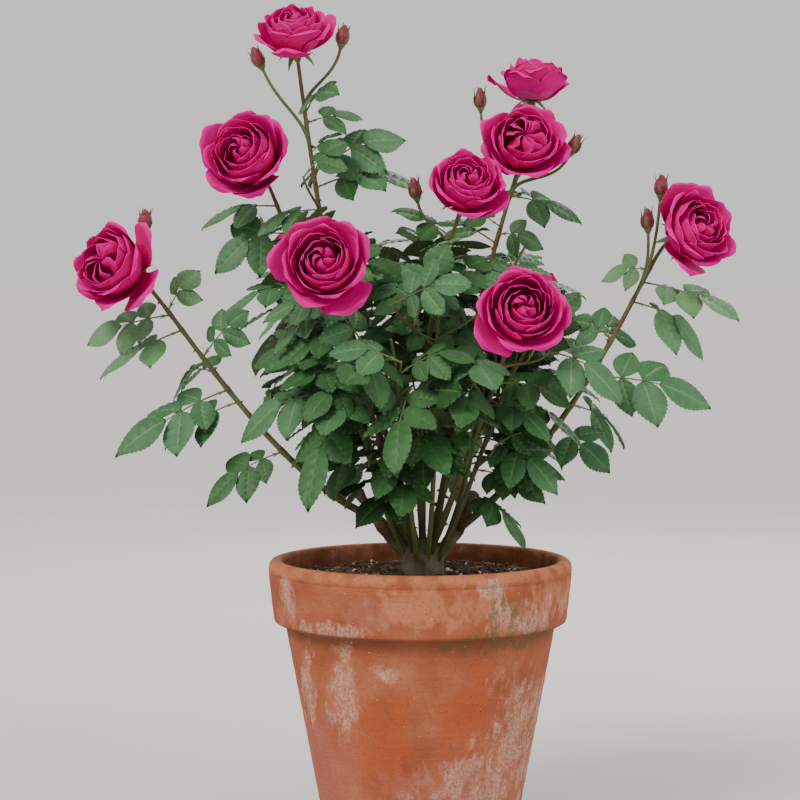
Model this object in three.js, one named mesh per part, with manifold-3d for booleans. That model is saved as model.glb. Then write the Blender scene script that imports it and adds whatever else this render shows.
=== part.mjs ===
// A rose bush in a terracotta pot, as one group of closed solids in millimetres, +Z up.
// The origin is the centre of the pot's flat underside, and the bush is seen from the -Y side.
// Canes rise from a graft union in the soil. Each ends where its leaves begin, and its leafy stem
// goes on from there to a bloom. Leafy shoots fill the middle of the bush.

import * as THREE from "three";
import { mergeVertices } from "three/addons/utils/BufferGeometryUtils.js";
import Module from "manifold-3d";

const wasm = await Module();
wasm.setup();

// Driving sizes
const GAP = 0.3;
const POT = {
  height: 281,
  rimRadius: 150,
  bandRadius: 145,
  bandHeight: 61,
  neckRadius: 133.5,
  footRadius: 93,
  wall: 13,
  floor: 14,
  lip: 4.5,
  segments: 32,
};
const DRAIN = { holes: 3, ringRadius: 48, radius: 8, sides: 8 };
const SOIL_LEVEL = 264;
const UNION = { x: 2, y: 0, radius: 21, height: 38, flare: 1.25, flatFoot: 34 };
const CANE = { sides: 6, rings: 6, baseRadius: 3.6, tipRadius: 1.9, neck: 0.1 };
const TWIG = { sides: 3, baseRadius: 1.6, tipRadius: 1 };
const STALK = { sides: 3, baseRadius: 1.9, tipRadius: 1.4 };
const LEAF = { bare: 29, stalkWidth: 2, leaflet: 48, breadth: 0.76, widest: 0.44, thickness: 1 };
const PAIRS = [
  { gap: 20, size: 0.72, spread: 78 },
  { gap: 15, size: 0.88, spread: 62 },
];
const GOLDEN_TURN = 137.5;
const HIP = { length: 13, radius: 4.2 };
const BUD = { length: 27, radius: 7, sides: 5 };
const PETAL = { lobes: 6, lobe: 0.07, wave: 0.3 };
const SUNWARD = new THREE.Vector3(-0.2, -0.5, 0.85).normalize();
const FRONTWARD = new THREE.Vector3(-0.1, -0.75, 0.65).normalize();
const LIGHT = { up: 0.45, outward: 0.45, sun: 0.75, chance: 0.8 };

const UP = new THREE.Vector3(0, 0, 1);
const at = (p) => new THREE.Vector3(...p);
const aim = (p) => at(p).normalize();
const turned = (v, axis, degrees) => v.clone().applyAxisAngle(axis, THREE.MathUtils.degToRad(degrees));

// A number from 0 to 1 that depends only on which plant part asks for it, so every run grows alike.
function chance(mass, leaf, salt) {
  const s = Math.sin(mass * 127.1 + leaf * 311.7 + salt * 74.7) * 43758.5453;
  return s - Math.floor(s);
}

// Blooms: the heart is the middle of the flower's body, and facing is the way that it opens.
const BLOOMS = {
  top: { heart: [-124, 0, 798], facing: [-0.1, -0.52, 0.85], diameter: 84 },
  upper_left: { heart: [-172, 18, 678], facing: [-0.34, -0.86, 0.38], diameter: 102 },
  left: { heart: [-297, -37, 569], facing: [-0.56, -0.77, 0.3], diameter: 98 },
  front_left: { heart: [-90, -145, 571], facing: [-0.06, -0.95, 0.3], diameter: 95 },
  centre: { heart: [44, -44, 647], facing: [0.14, -0.78, 0.61], diameter: 85 },
  upper_right: { heart: [101, 0, 690], facing: [0.04, -0.9, 0.42], diameter: 92 },
  high_right: { heart: [114, 78, 757], facing: [0.06, 0.05, 1], diameter: 80 },
  front_right: { heart: [93, -145, 528], facing: [0.08, -0.95, 0.28], diameter: 95 },
  right: { heart: [264, -32, 604], facing: [0.54, -0.79, 0.28], diameter: 96 },
  back_left: { heart: [-112, 205, 588], facing: [-0.35, 0.8, 0.5], diameter: 88 },
  back_right: { heart: [114, 196, 533], facing: [0.4, 0.75, 0.5], diameter: 88 },
};

// Canes that carry blooms: where each leaves the old wood, in what direction and how straight, its
// bloom, the share of it that is bare, and its side stalks with their buds or second bloom. The
// leaves that show against the background have their own places, and the others follow the rule.
const CANES = [
  {
    name: "left", bloom: "left", bare: 0.3,
    from: [-44, -6, 322], leaving: [-0.83, -0.4, 0.3], sweep: 0.34,
    stalks: [{ fork: 0.93, bud: [-268, -22, 600], facing: [0.02, 0, 1] }],
    leaves: [
      { at: 0.8, toward: [-0.87, -0.18, -0.3], size: 0.95, pairs: 1 },
      { at: 0.58, toward: [-0.82, -0.31, -0.26], size: 1.02, pairs: 2 },
      { at: 0.87, toward: [0.45, -0.25, 0.86], size: 0.66, pairs: 1 },
      { at: 0.7, toward: [0.55, -0.26, 0.8], size: 0.74, pairs: 2 },
      { at: 0.34, toward: [-0.87, -0.31, -0.2], size: 0.72, pairs: 2 },
    ],
    spacing: 80, firstTurn: 250,
  },
  {
    name: "right", bloom: "right", bare: 0.34,
    from: [38, -2, 310], leaving: [0.74, -0.27, 0.62], sweep: 0.5,
    stalks: [
      { fork: 0.82, bud: [234, -8, 634], facing: [0.08, 0, 1] },
      { fork: 0.8, bud: [221, -22, 601], facing: [-0.06, -0.1, 1] },
    ],
    leaves: [
      { at: 0.9, toward: [-0.9, -0.35, 0.2], size: 0.55, pairs: 1 },
      { at: 0.8, toward: [0.93, 0.12, -0.2], size: 0.95, pairs: 1 },
      { at: 0.56, toward: [0.97, -0.3, 0.04], size: 1.08, pairs: 2 },
      { at: 0.4, toward: [0.6, -0.6, -0.4], size: 0.75, pairs: 1 },
      { at: 0.68, toward: [-0.72, -0.2, 0.66], size: 0.66, pairs: 1 },
    ],
    spacing: 80, firstTurn: 90,
  },
  {
    name: "tall", bloom: "top", bare: 0.56,
    from: [-9, -1, 290], leaving: [-0.58, 0.1, 0.81], sweep: 0.22,
    stalks: [
      { fork: 0.83, bud: [-155, 16, 762], facing: [-0.4, -0.1, 0.9] },
      { fork: 0.9, bud: [-79, 20, 783], facing: [0.2, 0, 1] },
    ],
    leaves: [
      { at: 0.88, toward: [0.95, 0.07, 0.4], size: 0.66, pairs: 1 },
      { at: 0.75, toward: [0.9, -0.12, 0.42], size: 1, pairs: 2 },
      { at: 0.7, toward: [-0.9, -0.35, 0.2], size: 0.6, pairs: 1 },
    ],
    spacing: 60, firstTurn: 20,
  },
  {
    name: "upper_left", bloom: "upper_left", bare: 0.6,
    from: [-12, 8, 288], leaving: [-0.46, 0.09, 0.89], sweep: 0.2,
    stalks: [],
    leaves: [{ at: 0.86, toward: [-0.82, -0.35, -0.3], size: 0.9, pairs: 1 }],
    spacing: 44, firstTurn: 150,
  },
  {
    name: "front_left", bloom: "front_left", bare: 0.5,
    from: [-6, -10, 288], leaving: [-0.23, -0.51, 0.83], sweep: 0.35,
    stalks: [],
    leaves: [],
    spacing: 40, firstTurn: 200,
  },
  {
    name: "centre", bloom: "centre", bare: 0.5,
    from: [3, -2, 292], leaving: [-0.09, -0.18, 0.98], sweep: 0.6,
    stalks: [{ fork: 0.86, bud: [-3, -22, 631], facing: [-0.2, -0.1, 1] }],
    leaves: [],
    spacing: 36, firstTurn: 60,
  },
  {
    name: "upper_right", bloom: "upper_right", bare: 0.56,
    from: [13, 3, 290], leaving: [0.14, 0.04, 0.99], sweep: 0.6,
    stalks: [
      { fork: 0.86, bloom: "high_right" },
      { fork: 0.84, bud: [61, 58, 724], facing: [-0.05, 0, 1] },
      { fork: 0.9, bud: [146, 14, 677], facing: [0.45, -0.1, 0.9] },
    ],
    leaves: [
      { at: 0.9, toward: [0.95, -0.18, -0.1], size: 0.8, pairs: 1 },
      { at: 0.8, toward: [0.7, -0.66, 0.1], size: 0.55, pairs: 1 },
    ],
    spacing: 44, firstTurn: 0,
  },
  {
    name: "front_right", bloom: "front_right", bare: 0.46,
    from: [9, -11, 288], leaving: [0.33, -0.49, 0.81], sweep: 0.33,
    stalks: [],
    leaves: [],
    spacing: 40, firstTurn: 330,
  },
  {
    name: "back_left", bloom: "back_left", bare: 0.5,
    from: [-3, 13, 287], leaving: [-0.2, 0.36, 0.92], sweep: 0.35,
    stalks: [{ fork: 0.8, bud: [-160, 168, 600], facing: [-0.5, 0.1, 0.86] }],
    leaves: [],
    spacing: 44, firstTurn: 90,
  },
  {
    name: "back_right", bloom: "back_right", bare: 0.5,
    from: [8, 13, 287], leaving: [0.2, 0.34, 0.92], sweep: 0.35,
    stalks: [],
    leaves: [],
    spacing: 44, firstTurn: 140,
  },
];

// Leafy shoots round the foot of the bush, by compass: 0 degrees is +X and 270 is the front.
const SHOOTS = [
  { name: "front_left", compass: 254, reach: 112, top: 500, firstTurn: 330 },
  { name: "front", compass: 283, reach: 84, top: 560, firstTurn: 30 },
  { name: "front_right", compass: 330, reach: 122, top: 500, firstTurn: 74 },
  { name: "right", compass: 28, reach: 118, top: 590, firstTurn: 200 },
  { name: "back", compass: 88, reach: 138, top: 590, firstTurn: 300 },
  { name: "back_left", compass: 137, reach: 112, top: 602, firstTurn: 250 },
  { name: "left", compass: 207, reach: 122, top: 545, firstTurn: 100 },
];
const SHOOT = {
  startRadius: 18,
  startHeight: 281,
  baseRadius: 2.9,
  tipRadius: 1.4,
  leafyFrom: 0.26,
  spacing: 25,
};

// Materials
const TERRACOTTA = { color: 0xb86a44, roughness: 0.9 };
const SOIL = { color: 0x2e211a, roughness: 1 };
const OLD_WOOD = { color: 0x5b4633, roughness: 0.9 };
const GREEN_WOOD = { color: 0x6b7440, roughness: 0.7 };
const LEAVES = { color: 0x4a7a4c, roughness: 0.6 };
const PETALS = { color: 0xc81464, roughness: 0.55 };

// A closed geometry as a solid, after a rule has moved its vertices.
function solidOf(geometry, rule = () => {}) {
  const bare = new THREE.BufferGeometry();
  bare.setAttribute("position", geometry.getAttribute("position"));
  if (geometry.index) bare.setIndex(geometry.index);
  const merged = mergeVertices(bare, 1e-4);
  const position = merged.getAttribute("position");
  const v = new THREE.Vector3();
  for (let i = 0; i < position.count; i += 1) {
    rule(v.fromBufferAttribute(position, i));
    position.setXYZ(i, v.x, v.y, v.z);
  }
  return new wasm.Manifold(
    new wasm.Mesh({
      numProp: 3,
      vertProperties: new Float32Array(position.array),
      triVerts: new Uint32Array(merged.index.array),
    }),
  );
}

// The largest body of a solid that a cut may have left in several.
function largest(solid) {
  return solid.decompose().reduce((best, body) => (body.volume() > best.volume() ? body : best));
}

function meshOf(name, solid, finish) {
  const { vertProperties, triVerts } = solid.getMesh();
  const geometry = new THREE.BufferGeometry();
  geometry.setAttribute("position", new THREE.BufferAttribute(vertProperties, 3));
  geometry.setIndex(new THREE.BufferAttribute(triVerts, 1));
  const material = new THREE.MeshStandardMaterial({ ...finish, metalness: 0, flatShading: true });
  const mesh = new THREE.Mesh(geometry.toNonIndexed(), material);
  mesh.geometry.computeVertexNormals();
  mesh.name = name;
  return mesh;
}

// A stem's path as a chain of straight lengths, so that what grows from it starts inside it.
function chainAlong(curve, from, to, rings) {
  const shares = Array.from({ length: rings + 1 }, (_, i) => from + ((to - from) * i) / rings);
  const points = shares.map((t) => curve.getPointAt(t));
  const headings = shares.map((t) => curve.getTangentAt(t));
  const spot = (list, t) => {
    const place = THREE.MathUtils.clamp((t - from) / (to - from), 0, 1) * rings;
    const i = Math.min(rings - 1, Math.floor(place));
    return list[i].clone().lerp(list[i + 1], place - i);
  };
  const pointAt = (t) => spot(points, t);
  const headingAt = (t) => spot(headings, t).normalize();
  return { points, headings, rings, pointAt, headingAt };
}

// A round limb that tapers along a chain, made by bending a cylinder.
function limb({ points, headings, rings }, baseRadius, tipRadius, sides) {
  const across = new THREE.Vector3(0, -1, 0.01);
  const rod = new THREE.CylinderGeometry(1, 1, 1, sides, rings);
  return solidOf(rod, (v) => {
    const t = v.y + 0.5;
    const ring = Math.round(t * rings);
    const radius = THREE.MathUtils.lerp(baseRadius, tipRadius, t);
    const a = across.clone().addScaledVector(headings[ring], -across.dot(headings[ring])).normalize();
    const b = new THREE.Vector3().crossVectors(headings[ring], a);
    const { x, z } = v;
    v.copy(points[ring]).addScaledVector(a, x * radius).addScaledVector(b, -z * radius);
  });
}

// A curve that leaves one point and arrives at another in given directions.
function bow(start, leaving, end, arriving, leavingShare = 0.38, arrivingShare = 0.3) {
  const span = start.distanceTo(end);
  return new THREE.CubicBezierCurve3(
    start,
    start.clone().addScaledVector(leaving, span * leavingShare),
    end.clone().addScaledVector(arriving, -span * arrivingShare),
    end,
  );
}

// Pot: a turned wall with a wide band under its lip, and drain holes through its floor.
function potSolid() {
  const bandFoot = POT.height - POT.bandHeight;
  const inner = POT.neckRadius - POT.wall;
  const profile = [
    [0, 0],
    [POT.footRadius - 1.5, 0],
    [POT.footRadius, 2],
    [POT.neckRadius, bandFoot - 1],
    [POT.bandRadius - 3, bandFoot],
    [POT.bandRadius, bandFoot + 4],
    [POT.rimRadius, POT.height - 12],
    [POT.rimRadius - 0.6, POT.height - POT.lip],
    [POT.rimRadius - POT.lip, POT.height - 0.5],
    [POT.rimRadius - POT.wall + 2, POT.height],
    [POT.rimRadius - POT.wall - 1.5, POT.height - 4],
    [POT.rimRadius - POT.wall - 3.5, bandFoot + 30],
    [inner, bandFoot - 6],
    [POT.footRadius - POT.wall + 3, POT.floor],
    [0, POT.floor],
  ].map(([r, z]) => new THREE.Vector2(r, z));
  const turnedPot = solidOf(new THREE.LatheGeometry(profile, POT.segments).rotateX(Math.PI / 2));
  const drills = Array.from({ length: DRAIN.holes }, (_, i) => {
    const angle = (i / DRAIN.holes) * Math.PI * 2 + Math.PI / 2;
    const [x, y] = [DRAIN.ringRadius * Math.cos(angle), DRAIN.ringRadius * Math.sin(angle)];
    const drill = new THREE.CylinderGeometry(DRAIN.radius, DRAIN.radius, POT.floor * 3, DRAIN.sides);
    return solidOf(drill.rotateX(Math.PI / 2).translate(x, y, 0));
  });
  return turnedPot.subtract(wasm.Manifold.union(drills));
}

// The pot's inner radius at a height, for the soil that fills it.
function insideRadius(z) {
  const bandFoot = POT.height - POT.bandHeight;
  const bottom = [POT.footRadius - POT.wall + 3, POT.floor];
  const neck = [POT.neckRadius - POT.wall, bandFoot - 6];
  const step = [POT.rimRadius - POT.wall - 3.5, bandFoot + 30];
  const mouth = [POT.rimRadius - POT.wall - 1.5, POT.height - 4];
  const [low, high] = z < neck[1] ? [bottom, neck] : z < step[1] ? [neck, step] : [step, mouth];
  return THREE.MathUtils.lerp(low[0], high[0], (z - low[1]) / (high[1] - low[1]));
}

function soilSolid() {
  const bandFoot = POT.height - POT.bandHeight;
  const clear = 2 * GAP;
  const wallAt = (z) => [insideRadius(z) - clear, z];
  const edge = SOIL_LEVEL - 3;
  const profile = [
    [0, POT.floor + GAP],
    wallAt(POT.floor + GAP),
    wallAt(bandFoot - 6),
    wallAt(bandFoot + 30),
    wallAt(edge),
    [insideRadius(edge) * 0.82, SOIL_LEVEL - 1],
    [insideRadius(edge) * 0.5, SOIL_LEVEL + 1.5],
    [UNION.flatFoot, SOIL_LEVEL],
    [0, SOIL_LEVEL],
  ].map(([r, z]) => new THREE.Vector2(r, z));
  return solidOf(new THREE.LatheGeometry(profile, POT.segments).rotateX(Math.PI / 2));
}

// Graft union: a knobbly foot with old pruned wood on it, cut flat where it meets the soil.
// grown makes it larger all round, to cut what stands on it clear.
function unionSolid(grown = 0) {
  const foot = SOIL_LEVEL + GAP - (grown ? 5 : 0);
  const lump = solidOf(new THREE.SphereGeometry(1, 11, 7).rotateX(Math.PI / 2), (v) => {
    const knob = 1 + 0.1 * Math.sin(3 * v.x + 5 * v.y) + 0.07 * Math.sin(9 * v.y - 4 * v.z);
    const low = Math.max(0, -v.z);
    const wide = (UNION.radius * knob + grown) * (1 + (UNION.flare - 1) * low);
    v.set(UNION.x + v.x * wide, UNION.y + v.y * wide, SOIL_LEVEL + 13 + v.z * (UNION.height - 13 + grown));
  });
  const old = [
    { from: [-10, -3, 282], to: [-61, -6, 349], base: 8.5, tip: 5.6, lean: [-0.7, 0, 0.7] },
    { from: [14, -1, 280], to: [53, 3, 345], base: 8.5, tip: 5.2, lean: [0.7, 0, 0.7] },
    { from: [-2, 10, 282], to: [-16, 34, 322], base: 6.5, tip: 5, lean: [-0.2, 0.6, 0.7] },
  ].map((s) => {
    const curve = bow(at(s.from), aim(s.lean), at(s.to), aim([s.lean[0] * 0.5, s.lean[1], 1]));
    return limb(chainAlong(curve, 0, 1, 4), s.base + grown, s.tip + grown, 7);
  });
  const below = solidOf(new THREE.BoxGeometry(200, 200, 100).translate(0, 0, foot - 50));
  return wasm.Manifold.union([lump, ...old]).subtract(below);
}

// A compound rose leaf laid flat along u: its stalk, one or two pairs of leaflets that face each
// other across it, and one leaflet at its end.
function leafOutline(pairs, scale) {
  const half = LEAF.stalkWidth / 2;
  const edge = [[0, half]];
  let u = LEAF.bare * scale;
  for (const { gap, size, spread } of pairs) {
    const start = u;
    const length = size * LEAF.leaflet * scale;
    const angle = THREE.MathUtils.degToRad(spread);
    const [cos, sin] = [Math.cos(angle), Math.sin(angle)];
    const spot = (ahead, across) => [start + cos * ahead + sin * across, half + sin * ahead - cos * across];
    const [widest, side] = [LEAF.widest * length, (LEAF.breadth * length) / 2];
    edge.push([u - half, half], spot(widest, -side), spot(length, 0), spot(widest, side), [u + half, half]);
    u += gap * scale;
  }
  const length = LEAF.leaflet * scale;
  edge.push([u, half], [u + LEAF.widest * length, (LEAF.breadth * length) / 2]);
  const mirrored = edge.map(([x, y]) => [x, -y]).reverse();
  return [...edge, [u + length, 0], ...mirrored];
}

// A planned leaf bends as it is laid out: it droops along its length and to each side, and twists.
function bent(plan, u, v, w) {
  const span = LEAF.bare * 2 * plan.scale;
  const twist = (plan.twist * u) / span;
  const sag = (plan.droop * (u * u + 0.8 * v * v)) / span;
  return plan.root
    .clone()
    .addScaledVector(plan.along, u)
    .addScaledVector(plan.side, v * Math.cos(twist))
    .addScaledVector(plan.normal, v * Math.sin(twist) + w)
    .addScaledVector(UP, -sag);
}

function planLeaf(root, along, normal, scale, mass, key, pairs) {
  const side = new THREE.Vector3().crossVectors(normal, along).normalize();
  const twist = 0.5 * (chance(mass, key, 12) - 0.5);
  const droop = 0.06 + 0.16 * chance(mass, key, 13);
  const outline = leafOutline(pairs, scale);
  return { root, along, side, normal, scale, twist, droop, outline };
}

// The leaf's outline in its place, without the end of the stalk that is inside the stem.
const leafPoints = (plan) => plan.outline.slice(2).map(([u, v]) => bent(plan, u, v, 0));

function leafSolid(plan, extra = 0) {
  const grow = 1 + extra / LEAF.leaflet;
  const shape = new THREE.Shape(plan.outline.map(([u, v]) => new THREE.Vector2(u, v).multiplyScalar(grow)));
  const blade = new THREE.ExtrudeGeometry(shape, { depth: LEAF.thickness + 2 * extra, bevelEnabled: false });
  blade.translate(0, 0, -LEAF.thickness / 2 - extra);
  return solidOf(blade, (v) => v.copy(bent(plan, v.x, v.y, v.z)));
}

// A bud: a narrow neck, then a pointed bulb in its sepals.
function budSolid(root, facing) {
  const profile = [
    [0, -1.5],
    [1.6, -1.5],
    [3.4, 6],
    [BUD.radius, BUD.length * 0.5],
    [0, BUD.length],
  ].map(([r, z]) => new THREE.Vector2(r, z));
  const turnedBud = new THREE.LatheGeometry(profile, BUD.sides).rotateX(Math.PI / 2);
  turnedBud.applyQuaternion(new THREE.Quaternion().setFromUnitVectors(UP, facing)).translate(...root);
  return solidOf(turnedBud);
}

// Where a bloom's flower base and the end of its stem are.
const bloomHeight = (bloom) => bloom.diameter * 0.5;
const bloomBase = (bloom) => at(bloom.heart).addScaledVector(aim(bloom.facing), -bloomHeight(bloom) * 0.5);
const bloomSeat = (bloom) => bloomBase(bloom).addScaledVector(aim(bloom.facing), -HIP.length);

// A bloom, turned as one piece: its hip, the broad petals that open round it in lobes, and the cup
// of packed petals inside them.
function bloomSolid(bloom, index) {
  const radius = bloom.diameter / 2;
  const height = bloomHeight(bloom);
  const profile = [
    [0, GAP - HIP.length],
    [CANE.tipRadius, GAP - HIP.length],
    [HIP.radius, -HIP.length * 0.3],
    [0.4 * radius, 0.1 * height],
    [0.98 * radius, 0.46 * height],
    [0.76 * radius, 0.54 * height],
    [0.68 * radius, 0.92 * height],
    [0.42 * radius, 0.98 * height],
    [0.28 * radius, 0.8 * height],
    [0, 0.94 * height],
  ].map(([r, z]) => new THREE.Vector2(r, z));
  const turnedBloom = solidOf(new THREE.LatheGeometry(profile, 2 * PETAL.lobes).rotateX(Math.PI / 2), (v) => {
    const reach = Math.hypot(v.x, v.y) / radius;
    const lobe = Math.round((Math.atan2(v.y, v.x) / Math.PI) * PETAL.lobes - 0.25) % 2 === 0 ? 1 : -1;
    const spread = 1 + PETAL.lobe * lobe * Math.min(1, 1.4 * reach * reach);
    const lift = reach > 0.9 ? PETAL.wave * height * (chance(index, lobe, 3) - 0.5) : 0;
    v.set(v.x * spread, v.y * spread, v.z + lift);
  });
  const placeOf = new THREE.Matrix4().compose(
    bloomBase(bloom),
    new THREE.Quaternion().setFromUnitVectors(UP, aim(bloom.facing)),
    new THREE.Vector3(1, 1, 1),
  );
  return turnedBloom.transform(placeOf.elements);
}

// The curve of a cane, and of a shoot, from its foot to its end.
function caneCurve(cane) {
  const bloom = BLOOMS[cane.bloom];
  return bow(at(cane.from), aim(cane.leaving), bloomSeat(bloom), aim(bloom.facing), cane.sweep, CANE.neck);
}

function shootCurve(shoot) {
  const angle = THREE.MathUtils.degToRad(shoot.compass);
  const out = at([Math.cos(angle), Math.sin(angle), 0]);
  const start = at([UNION.x, UNION.y, SHOOT.startHeight]).addScaledVector(out, SHOOT.startRadius);
  const end = at([UNION.x, UNION.y, shoot.top]).addScaledVector(out, shoot.reach);
  const leaving = out.clone().multiplyScalar(0.55).add(UP).normalize();
  const arriving = out.clone().multiplyScalar(0.75).add(UP).normalize();
  return bow(start, leaving, end, arriving);
}

// The masses of leaves: one to each cane beyond its bare length, and one to each shoot.
const BLOOM_LIST = Object.values(BLOOMS);
const CANE_MASS = { ...CANE, sides: 5, rings: 7, shrink: 0.25 };
const SHOOT_MASS = { ...SHOOT, sides: 4, rings: 6, shrink: 0, start: 0, stalks: [], leaves: [], bushy: true };
const MASSES = [
  ...CANES.map((cane) => ({
    ...CANE_MASS,
    ...cane,
    curve: caneCurve(cane),
    start: cane.bare,
    leafyFrom: cane.bare + 0.03,
  })),
  ...SHOOTS.map((shoot) => ({
    ...SHOOT_MASS,
    ...shoot,
    name: "core_" + shoot.name,
    curve: shootCurve(shoot),
  })),
];
const SAMPLES = 24;
for (const mass of MASSES) {
  const shareAt = (i) => mass.start + ((1 - mass.start) * i) / SAMPLES;
  mass.length = mass.curve.getLength();
  mass.samples = Array.from({ length: SAMPLES + 1 }, (_, i) => mass.curve.getPointAt(shareAt(i)));
}

// A leaf fits when its whole outline stays above the pot, away from every bloom and every other
// stem, and nowhere much nearer to another stem than to its own.
const ROOM = { overPot: 6, bloomShare: 0.56, lean: 0.5, stem: 5 };
function fits(index, points) {
  return points.every((point) => {
    if (point.z < POT.height + ROOM.overPot) return false;
    const inBloom = (bloom) => at(bloom.heart).distanceTo(point) < bloom.diameter * ROOM.bloomShare;
    if (BLOOM_LIST.some(inBloom)) return false;
    const near = MASSES.map((mass) => Math.min(...mass.samples.map((s) => s.distanceTo(point))));
    const room = Math.max(near[index] * ROOM.lean, ROOM.stem);
    return near.every((distance, other) => other === index || distance > room);
  });
}

// What is in place already. A leaf may touch only the wood that it grows from, so wood is kept
// with its mass's number, and leaves with none.
const placed = [];
function place(solid, woodOf = "other") {
  placed.push({ woodOf, solid, box: solid.boundingBox() });
}
const apart = (a, b) => [0, 1, 2].some((k) => a.max[k] < b.min[k] || b.max[k] < a.min[k]);
function clearOf(index, solid) {
  const box = solid.boundingBox();
  const others = placed.filter((other) => other.woodOf !== index && !apart(box, other.box));
  return others.every((other) => solid.intersect(other.solid).isEmpty());
}

// A leaf's face turns to the light, with some chance in it.
function growPlanned(index, point, along, light, size, key, pairs, found) {
  const stray = [1, 2, 3].map((salt) => LIGHT.chance * (chance(index, key, salt) - 0.5));
  const face = light.clone().add(at(stray));
  const normal = face.addScaledVector(along, -face.dot(along)).normalize();
  const plan = planLeaf(point, along, normal, size, index, key, pairs);
  if (!fits(index, leafPoints(plan))) return false;
  if (!clearOf(index, leafSolid(plan, GAP))) return false;
  const leaf = leafSolid(plan);
  found.push(leaf);
  place(leaf);
  return true;
}

// The level way out from the middle of the bush, and a way square to a stem.
const outwardAt = (point) => point.clone().sub(at([UNION.x, UNION.y, point.z])).normalize();
const squareTo = (heading, outward) =>
  new THREE.Vector3().crossVectors(heading, Math.abs(heading.z) > 0.95 ? outward : UP).normalize();

// Leaves grow from a stem one turn apart, out and up, with their faces to the light. A leaf that
// would leave its mass's space or touch anything else is turned and tried again, then made
// smaller, and is left out when none of these fits.
const TWEAKS = [0, 40, -40, 80, -80, 125, -125, 180];
const SHARES = [1, 0.78];
function growLeaf(index, point, heading, turn, key, scale, found) {
  const outward = outwardAt(point);
  const square = squareTo(heading, outward);
  const light = UP.clone().multiplyScalar(LIGHT.up);
  light.addScaledVector(outward, LIGHT.outward).addScaledVector(SUNWARD, LIGHT.sun);
  const size = scale * (0.86 + 0.28 * chance(index, key, 7));
  const rise = 0.1 + 0.5 * chance(index, key, 8);
  const pairs = chance(index, key, 9) < 0.6 ? PAIRS.slice(1) : PAIRS;
  SHARES.some((share) =>
    TWEAKS.some((tweak) => {
      const spoke = turned(square, heading, turn + tweak);
      const along = spoke.addScaledVector(outward, 0.45).addScaledVector(UP, rise).normalize();
      return growPlanned(index, point, along, light, size * share, key, pairs, found);
    }),
  );
}

// A side twig with two leaves, kept only where it stays clear.
function growTwig(index, root, heading, turn, key, found) {
  const outward = outwardAt(root);
  const spoke = turned(squareTo(heading, outward), heading, turn);
  const way = spoke.multiplyScalar(0.8).addScaledVector(outward, 0.4).addScaledVector(UP, 0.7).normalize();
  const end = root.clone().addScaledVector(way, 40 + 30 * chance(index, key, 11));
  if (!fits(index, [end])) return;
  const chain = chainAlong(bow(root, way, end, way.clone().add(UP).normalize()), 0, 1, 2);
  if (!clearOf(index, limb(chain, TWIG.baseRadius + GAP, TWIG.tipRadius + GAP, TWIG.sides))) return;
  const twig = limb(chain, TWIG.baseRadius, TWIG.tipRadius, TWIG.sides);
  found.push(twig);
  place(twig, index);
  [0.5, 0.98].forEach((t, i) => {
    const leafTurn = turn + 90 + i * GOLDEN_TURN;
    growLeaf(index, chain.pointAt(t), chain.headingAt(t), leafTurn, key * 3 + i, 0.85, found);
  });
}

// A side stalk from a stem to a bud, or to a second bloom.
function growStalk(chain, stalk) {
  const bloom = BLOOMS[stalk.bloom];
  const facing = aim(bloom ? bloom.facing : stalk.facing);
  const end = bloom ? bloomSeat(bloom) : at(stalk.bud);
  const path = bow(chain.pointAt(stalk.fork), chain.headingAt(stalk.fork), end, facing, 0.35, 0.45);
  const tipRadius = bloom ? CANE.tipRadius : STALK.tipRadius;
  const stem = limb(chainAlong(path, 0, 1, 4), STALK.baseRadius, tipRadius, STALK.sides);
  return bloom ? [stem] : [stem, budSolid(end, facing)];
}

// One mass: its stem, side stalks, twigs and leaves as one solid.
const SEEN_KEY = 60;
const TWIG_KEY = 20;
function growMass(mass, index, foot) {
  const begin = mass.start ? mass.start + GAP / mass.length : 0;
  const radiusAt = (t) => THREE.MathUtils.lerp(mass.baseRadius, mass.tipRadius, t);
  const chain = chainAlong(mass.curve, begin, 1, mass.rings);
  const stem = limb(chain, radiusAt(begin), radiusAt(1), mass.sides);
  const found = [mass.bushy ? largest(stem.subtract(foot)) : stem];
  mass.stalks.forEach((stalk) => found.push(...growStalk(chain, stalk)));
  found.forEach((solid) => place(solid, index));
  mass.leaves.forEach(({ at: t, toward, size, pairs }, i) => {
    const key = SEEN_KEY + i;
    growPlanned(index, chain.pointAt(t), aim(toward), FRONTWARD, size, key, PAIRS.slice(-pairs), found);
  });

  const { leafyFrom } = mass;
  const nodes = Math.max(2, Math.round(((0.97 - leafyFrom) * mass.length) / mass.spacing));
  for (let i = 0; i < nodes; i += 1) {
    const t = leafyFrom + ((0.96 - leafyFrom) * (i + 0.5)) / nodes;
    const point = chain.pointAt(t);
    const heading = chain.headingAt(t);
    const turn = mass.firstTurn + i * GOLDEN_TURN;
    growLeaf(index, point, heading, turn, i, 1 - mass.shrink * t, found);
    if (mass.bushy && i % 2 === 1) growTwig(index, point, heading, turn + 180, TWIG_KEY + i, found);
  }
  return largest(wasm.Manifold.union(found));
}

const bush = new THREE.Group();
const pot = potSolid();
const soil = soilSolid();
const union = unionSolid();
const unionRoom = unionSolid(GAP + 0.1);
bush.add(meshOf("pot", pot, TERRACOTTA));
bush.add(meshOf("soil", soil, SOIL));
bush.add(meshOf("graft_union", union, OLD_WOOD));
[pot, soil, unionRoom].forEach((solid) => place(solid));

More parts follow.
